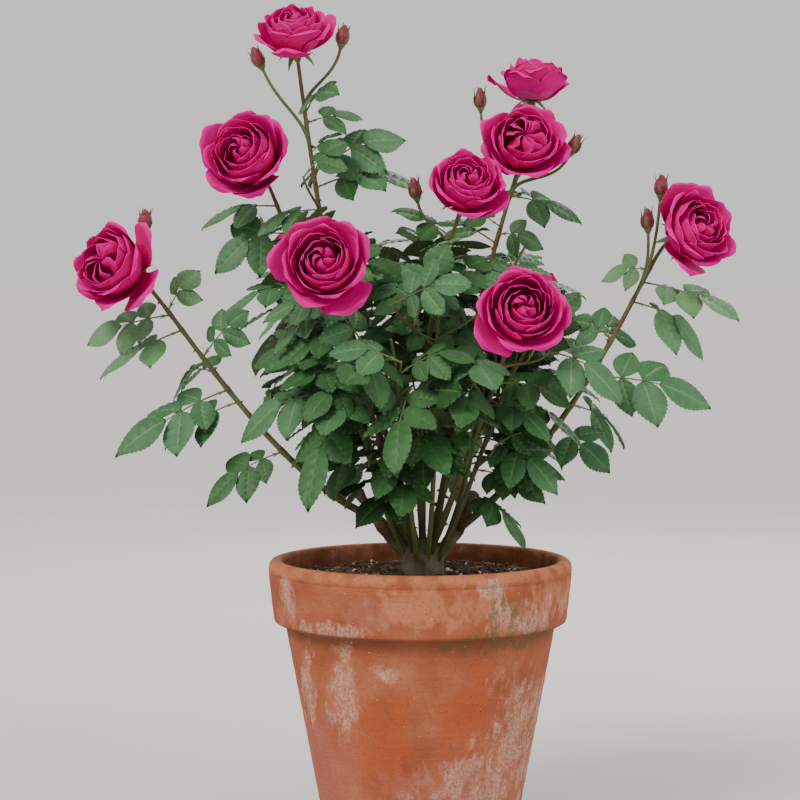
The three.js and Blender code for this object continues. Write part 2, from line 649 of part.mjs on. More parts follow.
for (const cane of MASSES.filter((mass) => !mass.bushy)) {
  const endRadius = THREE.MathUtils.lerp(CANE.baseRadius, CANE.tipRadius, cane.bare);
  const chain = chainAlong(cane.curve, 0, cane.bare, CANE.rings);
  const bough = limb(chain, CANE.baseRadius, endRadius, CANE.sides);
  const bare = largest(bough.subtract(unionRoom));
  place(bare);
  bush.add(meshOf("cane_" + cane.name, bare, GREEN_WOOD));
}
Object.entries(BLOOMS).forEach(([name, bloom], index) => {
  const flower = bloomSolid(bloom, index);
  place(flower);
  bush.add(meshOf("bloom_" + name, flower, PETALS));
});
MASSES.forEach((mass, index) => {
  bush.add(meshOf("leaves_" + mass.name, growMass(mass, index, unionRoom), LEAVES));
});

export default bush;
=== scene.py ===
# The looks of a rose bush in a terracotta pot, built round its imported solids.
# Growth is worked out in millimetres, by the same rule as the solids, and made in metres.
import math

import bpy
import numpy as np
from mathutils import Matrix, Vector
from mathutils.bvhtree import BVHTree


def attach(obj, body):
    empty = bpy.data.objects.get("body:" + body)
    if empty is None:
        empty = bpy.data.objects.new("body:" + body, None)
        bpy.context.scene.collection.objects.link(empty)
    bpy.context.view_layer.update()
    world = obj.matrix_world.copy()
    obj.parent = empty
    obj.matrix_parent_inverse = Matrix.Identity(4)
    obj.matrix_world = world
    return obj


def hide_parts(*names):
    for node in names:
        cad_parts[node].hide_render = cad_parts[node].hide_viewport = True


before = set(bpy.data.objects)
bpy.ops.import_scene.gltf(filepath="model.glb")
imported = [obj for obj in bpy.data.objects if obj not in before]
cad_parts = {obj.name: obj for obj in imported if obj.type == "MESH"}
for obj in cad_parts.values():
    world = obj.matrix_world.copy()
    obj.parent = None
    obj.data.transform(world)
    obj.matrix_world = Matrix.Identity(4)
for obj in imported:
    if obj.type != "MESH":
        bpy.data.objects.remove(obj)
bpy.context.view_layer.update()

MM = 0.001

# Sizes of the solids
GAP = 0.3
POT = {
    "height": 281, "rim": 150, "band": 145, "band_height": 61, "neck": 133.5, "foot": 93,
    "wall": 13, "floor": 14, "lip": 4.5,
}
LEDGE = POT["height"] - POT["band_height"]
DRAIN = {"holes": 3, "ring": 48, "radius": 8}
SOIL_LEVEL = 264
UNION = np.array([2.0, 0.0])
CANE = {"base": 3.6, "tip": 1.9, "neck": 0.1}
TWIG = {"base": 1.6, "tip": 1.0, "length": 40, "luck": 30, "leaf_size": 0.85, "leaves": (0.5, 0.98)}
STALK = {"base": 1.9, "tip": 1.4}
LEAF = {"bare": 29, "leaflet": 48, "breadth": 0.76, "widest": 0.44}
PAIRS = [{"gap": 20, "size": 0.72, "spread": 78}, {"gap": 15, "size": 0.88, "spread": 62}]
GOLDEN_TURN = 137.5
HIP = {"length": 13, "radius": 4.6}
BUD = {"length": 27, "radius": 7}
LIGHT = {"up": 0.45, "outward": 0.45, "sun": 0.75, "chance": 0.8}


def unit(v):
    v = np.asarray(v, float)
    return v / np.linalg.norm(v)


UP = np.array([0.0, 0.0, 1.0])
SUNWARD = unit([-0.2, -0.5, 0.85])
FRONTWARD = unit([-0.1, -0.75, 0.65])


def turned(v, axis, degrees):
    a = math.radians(degrees)
    return v * math.cos(a) + np.cross(axis, v) * math.sin(a) + axis * np.dot(axis, v) * (1 - math.cos(a))


def lerp(a, b, t):
    return a + (b - a) * t


def read_off(values, t):
    """Values that stand evenly from 0 to 1, read at t."""
    return np.interp(t, np.linspace(0, 1, len(values)), values)


def smooth(low, high, x):
    t = np.clip((x - low) / (high - low), 0, 1)
    return t * t * (3 - 2 * t)


def chance(mass, leaf, salt):
    """A number from 0 to 1 by mass, leaf and use. Each use has a salt of its own."""
    s = math.sin(mass * 127.1 + leaf * 311.7 + salt * 74.7) * 43758.5453
    return s - math.floor(s)


# Blooms: heart, the way that each opens, and diameter
BLOOM_ROWS = {
    "top": ([-124, 0, 798], [-0.1, -0.52, 0.85], 84),
    "upper_left": ([-172, 18, 678], [-0.34, -0.86, 0.38], 102),
    "left": ([-297, -37, 569], [-0.56, -0.77, 0.3], 98),
    "front_left": ([-90, -145, 571], [-0.06, -0.95, 0.3], 95),
    "centre": ([44, -44, 647], [0.14, -0.78, 0.61], 85),
    "upper_right": ([101, 0, 690], [0.04, -0.9, 0.42], 92),
    "high_right": ([114, 78, 757], [0.06, 0.05, 1], 80),
    "front_right": ([93, -145, 528], [0.08, -0.95, 0.28], 95),
    "right": ([264, -32, 604], [0.54, -0.79, 0.28], 96),
    "back_left": ([-112, 205, 588], [-0.35, 0.8, 0.5], 88),
    "back_right": ([114, 196, 533], [0.4, 0.75, 0.5], 88),
}
BLOOMS = {}
for name, (heart, facing, diameter) in BLOOM_ROWS.items():
    facing, height = unit(facing), diameter * 0.5
    base = np.array(heart, float) - facing * height * 0.5
    BLOOMS[name] = {"heart": heart, "facing": facing, "diameter": diameter, "height": height}
    BLOOMS[name].update(base=base, seat=base - facing * HIP["length"])

# Canes: name, bloom, bare share, where each leaves the old wood and how, sweep, spacing
# of the leaves and first turn, then side stalks (share of the cane, bud or bloom, facing), and the
# leaves that have their own places (share of the cane, direction, size, pairs of leaflets).
CANE_FIELDS = (
    "name", "bloom", "bare", "from", "leaving", "sweep", "spacing", "first_turn", "stalks", "leaves",
)
CANE_ROWS = [
    (
        "left", "left", 0.3, [-44, -6, 322], [-0.83, -0.4, 0.3], 0.34, 80, 250,
        [(0.93, [-268, -22, 600], [0.02, 0, 1])],
        [
            (0.8, [-0.87, -0.18, -0.3], 0.95, 1),
            (0.58, [-0.82, -0.31, -0.26], 1.02, 2),
            (0.87, [0.45, -0.25, 0.86], 0.66, 1),
            (0.7, [0.55, -0.26, 0.8], 0.74, 2),
            (0.34, [-0.87, -0.31, -0.2], 0.72, 2),
        ],
    ),
    (
        "right", "right", 0.34, [38, -2, 310], [0.74, -0.27, 0.62], 0.5, 80, 90,
        [(0.82, [234, -8, 634], [0.08, 0, 1]), (0.8, [221, -22, 601], [-0.06, -0.1, 1])],
        [
            (0.9, [-0.9, -0.35, 0.2], 0.55, 1),
            (0.8, [0.93, 0.12, -0.2], 0.95, 1),
            (0.56, [0.97, -0.3, 0.04], 1.08, 2),
            (0.4, [0.6, -0.6, -0.4], 0.75, 1),
            (0.68, [-0.72, -0.2, 0.66], 0.66, 1),
        ],
    ),
    (
        "tall", "top", 0.56, [-9, -1, 290], [-0.58, 0.1, 0.81], 0.22, 60, 20,
        [(0.83, [-155, 16, 762], [-0.4, -0.1, 0.9]), (0.9, [-79, 20, 783], [0.2, 0, 1])],
        [
            (0.88, [0.95, 0.07, 0.4], 0.66, 1),
            (0.75, [0.9, -0.12, 0.42], 1, 2),
            (0.7, [-0.9, -0.35, 0.2], 0.6, 1),
        ],
    ),
    (
        "upper_left", "upper_left", 0.6, [-12, 8, 288], [-0.46, 0.09, 0.89], 0.2, 44, 150,
        [], [(0.86, [-0.82, -0.35, -0.3], 0.9, 1)],
    ),
    ("front_left", "front_left", 0.5, [-6, -10, 288], [-0.23, -0.51, 0.83], 0.35, 40, 200, [], []),
    (
        "centre", "centre", 0.5, [3, -2, 292], [-0.09, -0.18, 0.98], 0.6, 36, 60,
        [(0.86, [-3, -22, 631], [-0.2, -0.1, 1])], [],
    ),
    (
        "upper_right", "upper_right", 0.56, [13, 3, 290], [0.14, 0.04, 0.99], 0.6, 44, 0,
        [
            (0.86, "high_right", None),
            (0.84, [61, 58, 724], [-0.05, 0, 1]),
            (0.9, [146, 14, 677], [0.45, -0.1, 0.9]),
        ],
        [(0.9, [0.95, -0.18, -0.1], 0.8, 1), (0.8, [0.7, -0.66, 0.1], 0.55, 1)],
    ),
    ("front_right", "front_right", 0.46, [9, -11, 288], [0.33, -0.49, 0.81], 0.33, 40, 330, [], []),
    (
        "back_left", "back_left", 0.5, [-3, 13, 287], [-0.2, 0.36, 0.92], 0.35, 44, 90,
        [(0.8, [-160, 168, 600], [-0.5, 0.1, 0.86])], [],
    ),
    ("back_right", "back_right", 0.5, [8, 13, 287], [0.2, 0.34, 0.92], 0.35, 44, 140, [], []),
]
CANES = [dict(zip(CANE_FIELDS, row)) for row in CANE_ROWS]

# Leafy shoots: name, compass, reach, top and first turn
SHOOTS = [
    ("front_left", 254, 112, 500, 330),
    ("front", 283, 84, 560, 30),
    ("front_right", 330, 122, 500, 74),
    ("right", 28, 118, 590, 200),
    ("back", 88, 138, 590, 300),
    ("back_left", 137, 112, 602, 250),
    ("left", 207, 122, 545, 100),
]
SHOOT = {
    "start_radius": 18, "start_height": 281, "base": 2.9, "tip": 1.4,
    "leafy_from": 0.26, "spacing": 25,
}


class Path:
    """A cubic curve that is read by the share of its length."""

    DIVISIONS = 400

    def __init__(self, a, b, c, d):
        self.corners = [np.asarray(p, float) for p in (a, b, c, d)]
        self.times = np.linspace(0, 1, self.DIVISIONS + 1)
        steps = np.linalg.norm(np.diff(self.by_time(self.times), axis=0), axis=1)
        run = np.concatenate([[0], np.cumsum(steps)])
        self.length = run[-1]
        self.shares = run / self.length

    def by_time(self, t):
        a, b, c, d = self.corners
        t = np.asarray(t, float)[..., None]
        s = 1 - t
        return s**3 * a + 3 * s**2 * t * b + 3 * s * t**2 * c + t**3 * d

    def at(self, share):
        return self.by_time(np.interp(share, self.shares, self.times))

    def heading(self, share):
        step = 0.004
        return unit(self.at(min(share + step, 1)) - self.at(max(share - step, 0)))


def bow(start, leaving, end, arriving, leaving_share=0.38, arriving_share=0.3):
    start, end = np.asarray(start, float), np.asarray(end, float)
    span = np.linalg.norm(end - start)
    first = start + leaving * span * leaving_share
    return Path(start, first, end - arriving * span * arriving_share, end)


def cane_path(cane):
    bloom = BLOOMS[cane["bloom"]]
    leaving = unit(cane["leaving"])
    return bow(cane["from"], leaving, bloom["seat"], bloom["facing"], cane["sweep"], CANE["neck"])


def shoot_path(compass, reach, top):
    a = math.radians(compass)
    out = np.array([math.cos(a), math.sin(a), 0])
    start = np.array([*UNION, SHOOT["start_height"]]) + out * SHOOT["start_radius"]
    end = np.array([*UNION, top]) + out * reach
    return bow(start, unit(out * 0.55 + UP), end, unit(out * 0.75 + UP))


MASSES = []
for cane in CANES:
    bare = {"start": cane["bare"], "leafy_from": cane["bare"] + 0.03, "shrink": 0.25, "bushy": False}
    MASSES.append({**cane, **CANE, **bare, "path": cane_path(cane)})
for name, compass, reach, top, first_turn in SHOOTS:
    own = {"name": "core_" + name, "first_turn": first_turn, "path": shoot_path(compass, reach, top)}
    MASSES.append({**SHOOT, **own, "start": 0, "shrink": 0, "stalks": [], "leaves": [], "bushy": True})
STEM_SAMPLES = 25
SAMPLES = np.array([m["path"].at(np.linspace(m["start"], 1, STEM_SAMPLES)) for m in MASSES])
HEARTS = np.array([b["heart"] for b in BLOOMS.values()], float)
# Room that points need: over the pot, as a share of the way to another mass, off stems, and as a
# share of a bloom's width
ROOM = {"over_pot": 6, "lean": 0.5, "stem": 5, "bloom": 0.56}
HEART_ROOM = np.array([b["diameter"] for b in BLOOMS.values()]) * ROOM["bloom"]
EXTRA_LEAN = 0.36


def fits(index, points, lean=ROOM["lean"]):
    """True when points stay in the space of their own mass, above the pot and off every bloom."""
    if points[:, 2].min() < POT["height"] + ROOM["over_pot"]:
        return False
    to_hearts = np.linalg.norm(points[:, None] - HEARTS[None], axis=2)
    if (to_hearts < HEART_ROOM).any():
        return False
    near = np.linalg.norm(points[:, None, None] - SAMPLES[None], axis=3).min(axis=2)
    room = np.maximum(near[:, index] * lean, ROOM["stem"])
    return bool((np.delete(near, index, axis=1) > room[:, None]).all())


class Placed:
    """What is in place already, for the test that keeps leaves off it."""

    def __init__(self):
        self.trees, self.owners, self.lows, self.highs = [], [], [], []

    def tree(self, points, faces):
        return BVHTree.FromPolygons(points.tolist(), np.asarray(faces).tolist())

    def add(self, points, faces, owner=-1):
        self.trees.append(self.tree(points, faces))
        self.owners.append(owner)
        self.lows.append(points.min(axis=0))
        self.highs.append(points.max(axis=0))

    def clear_of(self, points, faces, owner):
        low, high = points.min(axis=0), points.max(axis=0)
        near = (np.array(self.lows) <= high).all(axis=1) & (np.array(self.highs) >= low).all(axis=1)
        near &= np.array(self.owners) != owner
        if not near.any():
            return True
        tree = self.tree(points, faces)
        return not any(tree.overlap(self.trees[i]) for i in np.flatnonzero(near))


placed = Placed()
for name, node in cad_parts.items():
    if not name.startswith("leaves_"):
        corners = np.array([v.co for v in node.data.vertices]) / MM
        placed.add(corners, [list(p.vertices) for p in node.data.polygons])


# A leaf is planned flat along u, with v across it and w off its face, and bends as it is laid out.
def leaflets_of(pairs, scale):
    """Each leaflet's start along the stalk, angle in degrees and length."""
    found = []
    u = LEAF["bare"] * scale
    for pair in pairs:
        length = pair["size"] * LEAF["leaflet"] * scale
        found += [(u, pair["spread"], length), (u, -pair["spread"], length)]
        u += pair["gap"] * scale
    return found + [(u, 0, LEAF["leaflet"] * scale)]


def bent(plan, u, v, w):
    span = LEAF["bare"] * 2 * plan["scale"]
    twist = plan["twist"] * u / span
    sag = plan["droop"] * (u * u + 0.8 * v * v) / span
    return (
        plan["root"]
        + np.multiply.outer(u, plan["along"])
        + np.multiply.outer(v * np.cos(twist), plan["side"])
        + np.multiply.outer(v * np.sin(twist) + w, plan["normal"])
        - np.multiply.outer(sag, UP)
    )


def plan_leaf(root, along, normal, scale, mass, key, pairs):
    return {
        "root": root,
        "along": along,
        "side": unit(np.cross(normal, along)),
        "normal": normal,
        "scale": scale,
        "twist": 0.5 * (chance(mass, key, 12) - 0.5),
        "droop": 0.06 + 0.16 * chance(mass, key, 13),
        "leaflets": leaflets_of(pairs, scale),
        "mass": mass,
        "key": key,
    }


KITE = np.array(
    [[0, 0], [LEAF["widest"], LEAF["breadth"] / 2], [1, 0], [LEAF["widest"], -LEAF["breadth"] / 2]]
)


def leaf_kites(plan, half_depth):
    """The leaflets as thin kite-shaped slabs, for the tests of room."""
    points, faces = [], []
    for start, angle, length in plan["leaflets"]:
        a = math.radians(angle)
        u = start + length * (KITE[:, 0] * math.cos(a) - KITE[:, 1] * math.sin(a))
        v = length * (KITE[:, 0] * math.sin(a) + KITE[:, 1] * math.cos(a))
        n = len(points) * 4
        points += [bent(plan, u, v, np.full(4, w)) for w in (-half_depth, half_depth)]
        faces += [[n, n + 1, n + 2, n + 3], [n + 4, n + 5, n + 6, n + 7]]
        faces += [[n + i, n + (i + 1) % 4, n + 4 + (i + 1) % 4, n + 4 + i] for i in range(4)]
    return np.concatenate(points), faces


leaf_plans = []
KITE_DEPTH = 1.0


def grow_planned(index, point, along, light, size, key, pairs, lean=ROOM["lean"]):
    stray = np.array([LIGHT["chance"] * (chance(index, key, salt) - 0.5) for salt in (1, 2, 3)])
    face = light + stray
    normal = unit(face - along * np.dot(face, along))
    plan = plan_leaf(point, along, normal, size, index, key, pairs)
    points, faces = leaf_kites(plan, KITE_DEPTH)
    beyond = points[np.linalg.norm(points - point, axis=1) > LEAF["bare"] * size * 0.5]
    if not (fits(index, beyond, lean) and placed.clear_of(points, faces, index)):
        return False
    placed.add(points, faces)
    leaf_plans.append(plan)
    return True


def outward_at(point):
    return unit([point[0] - UNION[0], point[1] - UNION[1], 0])


def square_to(heading, outward):
    return unit(np.cross(heading, outward if abs(heading[2]) > 0.95 else UP))


LEAF_LUCK = {"size": 0.86, "size_span": 0.28, "rise": 0.1, "rise_span": 0.5, "one_pair": 0.6}
# Turns and sizes that a leaf tries until it has room
TWEAKS = [0, 40, -40, 80, -80, 125, -125, 180]
TRIED_SIZES = [1, 0.78]
LOW_LEAF = {"size": 0.55, "until": POT["height"] + 170}


def grow_leaf(index, point, heading, turn, key, scale, lean=ROOM["lean"]):
    outward = outward_at(point)
    square = square_to(heading, outward)
    light = UP * LIGHT["up"] + outward * LIGHT["outward"] + SUNWARD * LIGHT["sun"]
    size = scale * (LEAF_LUCK["size"] + LEAF_LUCK["size_span"] * chance(index, key, 7))
    size = size * lerp(LOW_LEAF["size"], 1, smooth(POT["height"], LOW_LEAF["until"], point[2]))
    rise = LEAF_LUCK["rise"] + LEAF_LUCK["rise_span"] * chance(index, key, 8)
    pairs = PAIRS[1:] if chance(index, key, 9) < LEAF_LUCK["one_pair"] else PAIRS
    for share in TRIED_SIZES:
        for tweak in TWEAKS:
            spoke = turned(square, heading, turn + tweak)
            along = unit(spoke + outward * 0.45 + UP * rise)
            if grow_planned(index, point, along, light, size * share, key, pairs, lean):
                return True
    return False


def round_angles(sides):
    return np.arange(sides) * 2 * math.pi / sides


def ring_faces(rings, sides):
    """The triangles between rings of points, one after another."""
    faces = []
    for i in range(rings - 1):
        for k in range(sides):
            a, b = i * sides + k, i * sides + (k + 1) % sides
            faces += [[a, b, b + sides], [a, b + sides, a + sides]]
    return faces


def tube(points, radii, sides, relief=None):
    """A round skin along points, closed at both ends, with a relief of shares of its radius."""
    points = np.asarray(points, float)
    headings = np.gradient(points, axis=0)
    headings /= np.linalg.norm(headings, axis=1)[:, None]
    angles = round_angles(sides)[:, None]
    across = np.array([0.0, -1.0, 0.01])
    rings = []
    for i, heading in enumerate(headings):
        across = unit(across - heading * np.dot(across, heading))
        circle = np.cos(angles) * across + np.sin(angles) * np.cross(heading, across)
        radius = np.broadcast_to(radii[i] * (1 if relief is None else relief[i]), sides)
        rings.append(points[i] + circle * radius[:, None])
    faces = ring_faces(len(points), sides)
    last = (len(points) - 1) * sides
    foot = last + sides
    for k in range(sides):
        faces += [[foot, (k + 1) % sides, k], [foot + 1, last + k, last + (k + 1) % sides]]
    return np.concatenate(rings + [points[:1], points[-1:]]), np.array(faces)


# Twigs and stalks: path, radii at the foot and the end, mass, kind, and the share that is made
stems = []


def grow_twig(index, root, heading, turn, key, lean=ROOM["lean"]):
    outward = outward_at(root)
    spoke = turned(square_to(heading, outward), heading, turn)
    way = unit(spoke * 0.8 + outward * 0.4 + UP * 0.7)
    end = root + way * (TWIG["length"] + TWIG["luck"] * chance(index, key, 11))
    if not fits(index, end[None], lean):
        return
    path = bow(root, way, end, unit(way + UP))
    skin = tube(path.at(np.linspace(0.1, 1, 4)), [TWIG["base"]] * 4, 3)
    if not placed.clear_of(*skin, index):
        return
    placed.add(*skin, index)
    grown = 0
    for i, t in enumerate(TWIG["leaves"]):
        aim = (path.at(t), path.heading(t), turn + 90 + i * GOLDEN_TURN)
        if grow_leaf(index, *aim, key * 3 + i, TWIG["leaf_size"], lean):
            grown = t
    if grown:
        stems.append((path, TWIG["base"], TWIG["tip"], index, "twig", min(1, grown + 0.02)))


# Where the numbers of each kind of growth start, which its chances come from
KEYS = {"seen": 60, "twig": 20, "fine_spray": 99, "fine": 100, "fine_twig": 140}
buds = []


def grow_stalk(index, path, fork, aim, facing):
    """A side stalk to a bloom, by name, or to a bud, by place."""
    bloom = BLOOMS[aim] if isinstance(aim, str) else None
    facing = bloom["facing"] if bloom else unit(facing)
    end = bloom["seat"] if bloom else np.array(aim, float)
    side = bow(path.at(fork), path.heading(fork), end, facing, 0.35, 0.45)
    stems.append((side, STALK["base"], CANE["tip"] if bloom else STALK["tip"], index, "stalk", 1))
    placed.add(*tube(side.at(np.linspace(0, 1, 6)), [STALK["base"]] * 6, 4), index)
    if not bloom:
        buds.append((end, facing, index))
        around = end + facing * np.linspace(2, BUD["length"], 5)[:, None]
        placed.add(*tube(around, [3, 7, 7, 5, 1], 6), index)


def grow_sprays(index, path, sprays, first_key):
    """The leaves that have their own places."""
    for key, (t, toward, size, pairs) in enumerate(sprays, first_key):
        grow_planned(index, path.at(t), unit(toward), FRONTWARD, size, key, PAIRS[-pairs:])


LAST_LEAF = 0.96
for index, mass in enumerate(MASSES):
    path, first = mass["path"], mass["leafy_from"]
    placed.add(*tube(path.at(np.linspace(mass["start"], 1, 12)), [3] * 12, 4), index)
    for stalk in mass["stalks"]:
        grow_stalk(index, path, *stalk)
    grow_sprays(index, path, mass["leaves"], KEYS["seen"])

    mass["nodes"] = max(2, round((0.97 - first) * path.length / mass["spacing"]))
    mass["joints"] = [first + (LAST_LEAF - first) * (i + 0.5) / mass["nodes"] for i in range(mass["nodes"])]
    for i, t in enumerate(mass["joints"]):
        heading = path.heading(t)
        turn = mass["first_turn"] + i * GOLDEN_TURN
        grow_leaf(index, path.at(t), heading, turn, i, 1 - mass["shrink"] * t)
        if mass["bushy"] and i % 2 == 1:
            grow_twig(index, path.at(t), heading, turn + 180, KEYS["twig"] + i)

# The finer growth: leaves and twigs between those that the solids have
OPEN_BELOW = POT["height"] + 85
FINE = {"last": 0.93, "offset": 0.02, "size": 0.9, "twigs_until": 0.8}
FINE_SPRAYS = {"tall": [(0.78, [0.9, -0.3, 0.7], 1.0, 2)]}
for index, mass in enumerate(MASSES):
    path, first, nodes = mass["path"], mass["leafy_from"], mass["nodes"]
    sparse = mass["name"] in ("left", "right")
    grow_sprays(index, path, FINE_SPRAYS.get(mass["name"], ()), KEYS["fine_spray"])
    for i in range(nodes):
        t = first + (FINE["last"] - first) * (i + FINE["offset"]) / nodes
        if (sparse and i % 2 == 0) or path.at(t)[2] < OPEN_BELOW:
            continue
        turn = mass["first_turn"] + 70 + i * GOLDEN_TURN
        size = FINE["size"] - mass["shrink"] * t
        grow_leaf(index, path.at(t), path.heading(t), turn, KEYS["fine"] + i, size, EXTRA_LEAN)
        if not sparse and t < FINE["twigs_until"]:
            key = KEYS["fine_twig"] + i
            grow_twig(index, path.at(t), path.heading(t), turn + 150, key, EXTRA_LEAN)


class Piece:
    """Collects skins in millimetres and makes them one object in metres."""

    def __init__(self, name):
        self.name = name
        self.points, self.faces, self.looks, self.palette = [], [], [], []
        self.count = 0

    def add(self, points, faces, look, rows=None):
        """look is a material's name, or with rows a list of names that rows picks from."""
        names = [look] if isinstance(look, str) else look
        for name in names:
            if name not in self.palette:
                self.palette.append(name)
        numbers = np.array([self.palette.index(name) for name in names])
        self.points.append(points)
        self.faces.append(np.asarray(faces) + self.count)
        self.looks.append(numbers[np.zeros(len(faces), int) if rows is None else rows])
        self.count += len(points)

    def make(self, nodes=()):
        mesh = bpy.data.meshes.new(self.name)
        faces = np.concatenate(self.faces)
        mesh.from_pydata(np.concatenate(self.points) * MM, [], faces)
        for name in self.palette:
            mesh.materials.append(LOOKS[name])
        mesh.polygons.foreach_set("material_index", np.concatenate(self.looks).astype(np.int32))
        mesh.polygons.foreach_set("use_smooth", np.ones(len(faces), bool))
        mesh.update()
        made = bpy.data.objects.new(self.name, mesh)
        bpy.context.scene.collection.objects.link(made)
        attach(made, "root")
        if nodes:
            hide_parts(*nodes)
        return made


LOOKS = {}


def srgb(r, g, b):
    return tuple(((c / 255 + 0.055) / 1.055) ** 2.4 for c in (r, g, b))


class Look:
    """A material with its nodes. What goes into a node is a constant or another node's output."""

    def __init__(self, name, roughness, specular=0.5, sheen=0.0):
        material = bpy.data.materials.new(name)
        material.use_nodes = True
        self.tree = material.node_tree
        self.surface = self.tree.nodes["Principled BSDF"]
        constants = {"Roughness": roughness, "Specular IOR Level": specular, "Sheen Weight": sheen}
        self.feed(self.surface, constants)
        LOOKS[name] = material

    def feed(self, node, values):
        for socket, value in values.items():
            if isinstance(value, bpy.types.NodeSocket):
                self.tree.links.new(value, node.inputs[socket])
            else:
                node.inputs[socket].default_value = value

    def node(self, kind, values, **settings):
        made = self.tree.nodes.new("ShaderNode" + kind)
        for setting, value in settings.items():
            setattr(made, setting, value)
        self.feed(made, values)
        return made.outputs

    def noise(self, size_mm, detail=3.0, stretch=(1, 1, 1)):
        """A noise whose features are about size_mm across, in the object's own space."""
        place = self.node("TexCoord", {})["Object"]
        spread = self.node("Mapping", {"Vector": place, "Scale": stretch})["Vector"]
        values = {"Vector": spread, "Scale": 1000 / size_mm, "Detail": detail}
        return self.node("TexNoise", values)["Fac"]

    def ramp(self, value, stops):
        made = self.tree.nodes.new("ShaderNodeValToRGB")
        while len(made.color_ramp.elements) < len(stops):
            made.color_ramp.elements.new(0.5)
        for element, (position, color) in zip(made.color_ramp.elements, stops):
            element.position = position
            element.color = (*color, 1)
        self.feed(made, {"Fac": value})
        return made.outputs["Color"]

    def blend(self, factor, a, b, kind="MIX"):
        values = {"Factor": factor, "A": a, "B": b}
        return self.node("Mix", values, data_type="RGBA", blend_type=kind)["Result"]

    def finish(self, color, height, depth_mm):
        """The base colour, and a relief of some depth."""
        bump = self.node("Bump", {"Distance": depth_mm * MM, "Height": height})["Normal"]
        self.feed(self.surface, {"Base Color": color, "Normal": bump})


def shade(color, share):
    return tuple(min(1, c * share) for c in color)


def plant_look(name, color, roughness, vary=0.14, size_mm=9, bump_mm=0.15, bump_size=2.5, **rest):
    """A plain base colour that a fine noise varies, with its own relief."""
    look = Look(name, roughness, **rest)
    base = srgb(*color)
    stops = [(0.3, shade(base, 1 - vary)), (0.7, shade(base, 1 + vary))]
    look.finish(look.ramp(look.noise(size_mm), stops), look.noise(bump_size), bump_mm)


def stem_look(name, green, brown, roughness):
    look = Look(name, roughness, specular=0.35)
    tint = look.ramp(look.noise(26, 4.0), [(0.44, srgb(*green)), (0.68, srgb(*brown))])
    fine = look.noise(1.6, 2.0)
    spots = look.ramp(fine, [(0.3, (0.7, 0.7, 0.7)), (0.65, (1, 1, 1))])
    look.finish(look.blend(1.0, tint, spots, "MULTIPLY"), fine, 0.3)


# Greens of the leaves: the deepest is painted shade for leaves low in the middle, the cooler and paler ones
# are painted light for those outside and on top, and the yellower last one is a painted backlit glow.
GREENS = {
    "painted_shade": (44, 78, 40), "cool": (72, 116, 74), "mid": (58, 99, 54), "pale": (94, 138, 92),
    "lit": (74, 118, 54),
}
# Magentas of the petals, from the foot of a petal to its rim. The darker ones at the foot are partly the
# rose's own deeper colour and partly painted shade deep in the bloom; the lighter edge and rim are partly
# the petal's own paler edge and partly painted highlight.
PINKS = {
    "depth": (146, 0, 56), "heart": (194, 0, 96), "core": (206, 0, 124), "mid": (224, 0, 122),
    "broad": (218, 0, 138), "edge": (236, 0, 154), "rim": (252, 50, 178), "back": (210, 0, 122),
    "claw": (196, 62, 124),
}
for name, color in GREENS.items():
    plant_look("leaf_" + name, color, 0.5, vary=0.16, size_mm=14, specular=0.28)
for name, color in PINKS.items():
    plant_look("petal_" + name, color, 0.7, vary=0.08, size_mm=6, bump_mm=0.12, bump_size=3, specular=0.05)
plant_look("leaf_rib", (100, 136, 84), 0.55)
# A darker rib for leaves painted in shade.
plant_look("painted_shade_rib", (72, 108, 56), 0.55)
plant_look("leaf_under", (94, 122, 80), 0.62, specular=0.15)
plant_look("leaf_stalk", (104, 116, 66), 0.55)
plant_look("prickle", (104, 48, 36), 0.45)
plant_look("bud_red", (126, 12, 50), 0.5, vary=0.2, size_mm=6, sheen=0.2)
plant_look("sepal", (92, 112, 62), 0.55, vary=0.2, size_mm=7)
plant_look("bud_sepal", (104, 78, 54), 0.55, vary=0.35, size_mm=7)
stem_look("cane_skin", (92, 98, 50), (98, 72, 46), 0.55)
stem_look("twig_skin", (98, 116, 60), (108, 84, 52), 0.55)
stem_look("old_bark", (136, 120, 98), (94, 74, 58), 0.85)


# One leaflet, one long and laid along a, with x across it and w off its face.
STATIONS = 12
COLUMNS = (0.0, 0.055, 0.4, 0.74)
BLADE = {"breadth": 0.71, "tooth": 0.026, "slope": 0.13, "vein": 0.036, "fold": 0.3, "roll": 0.8}
TIP = 10


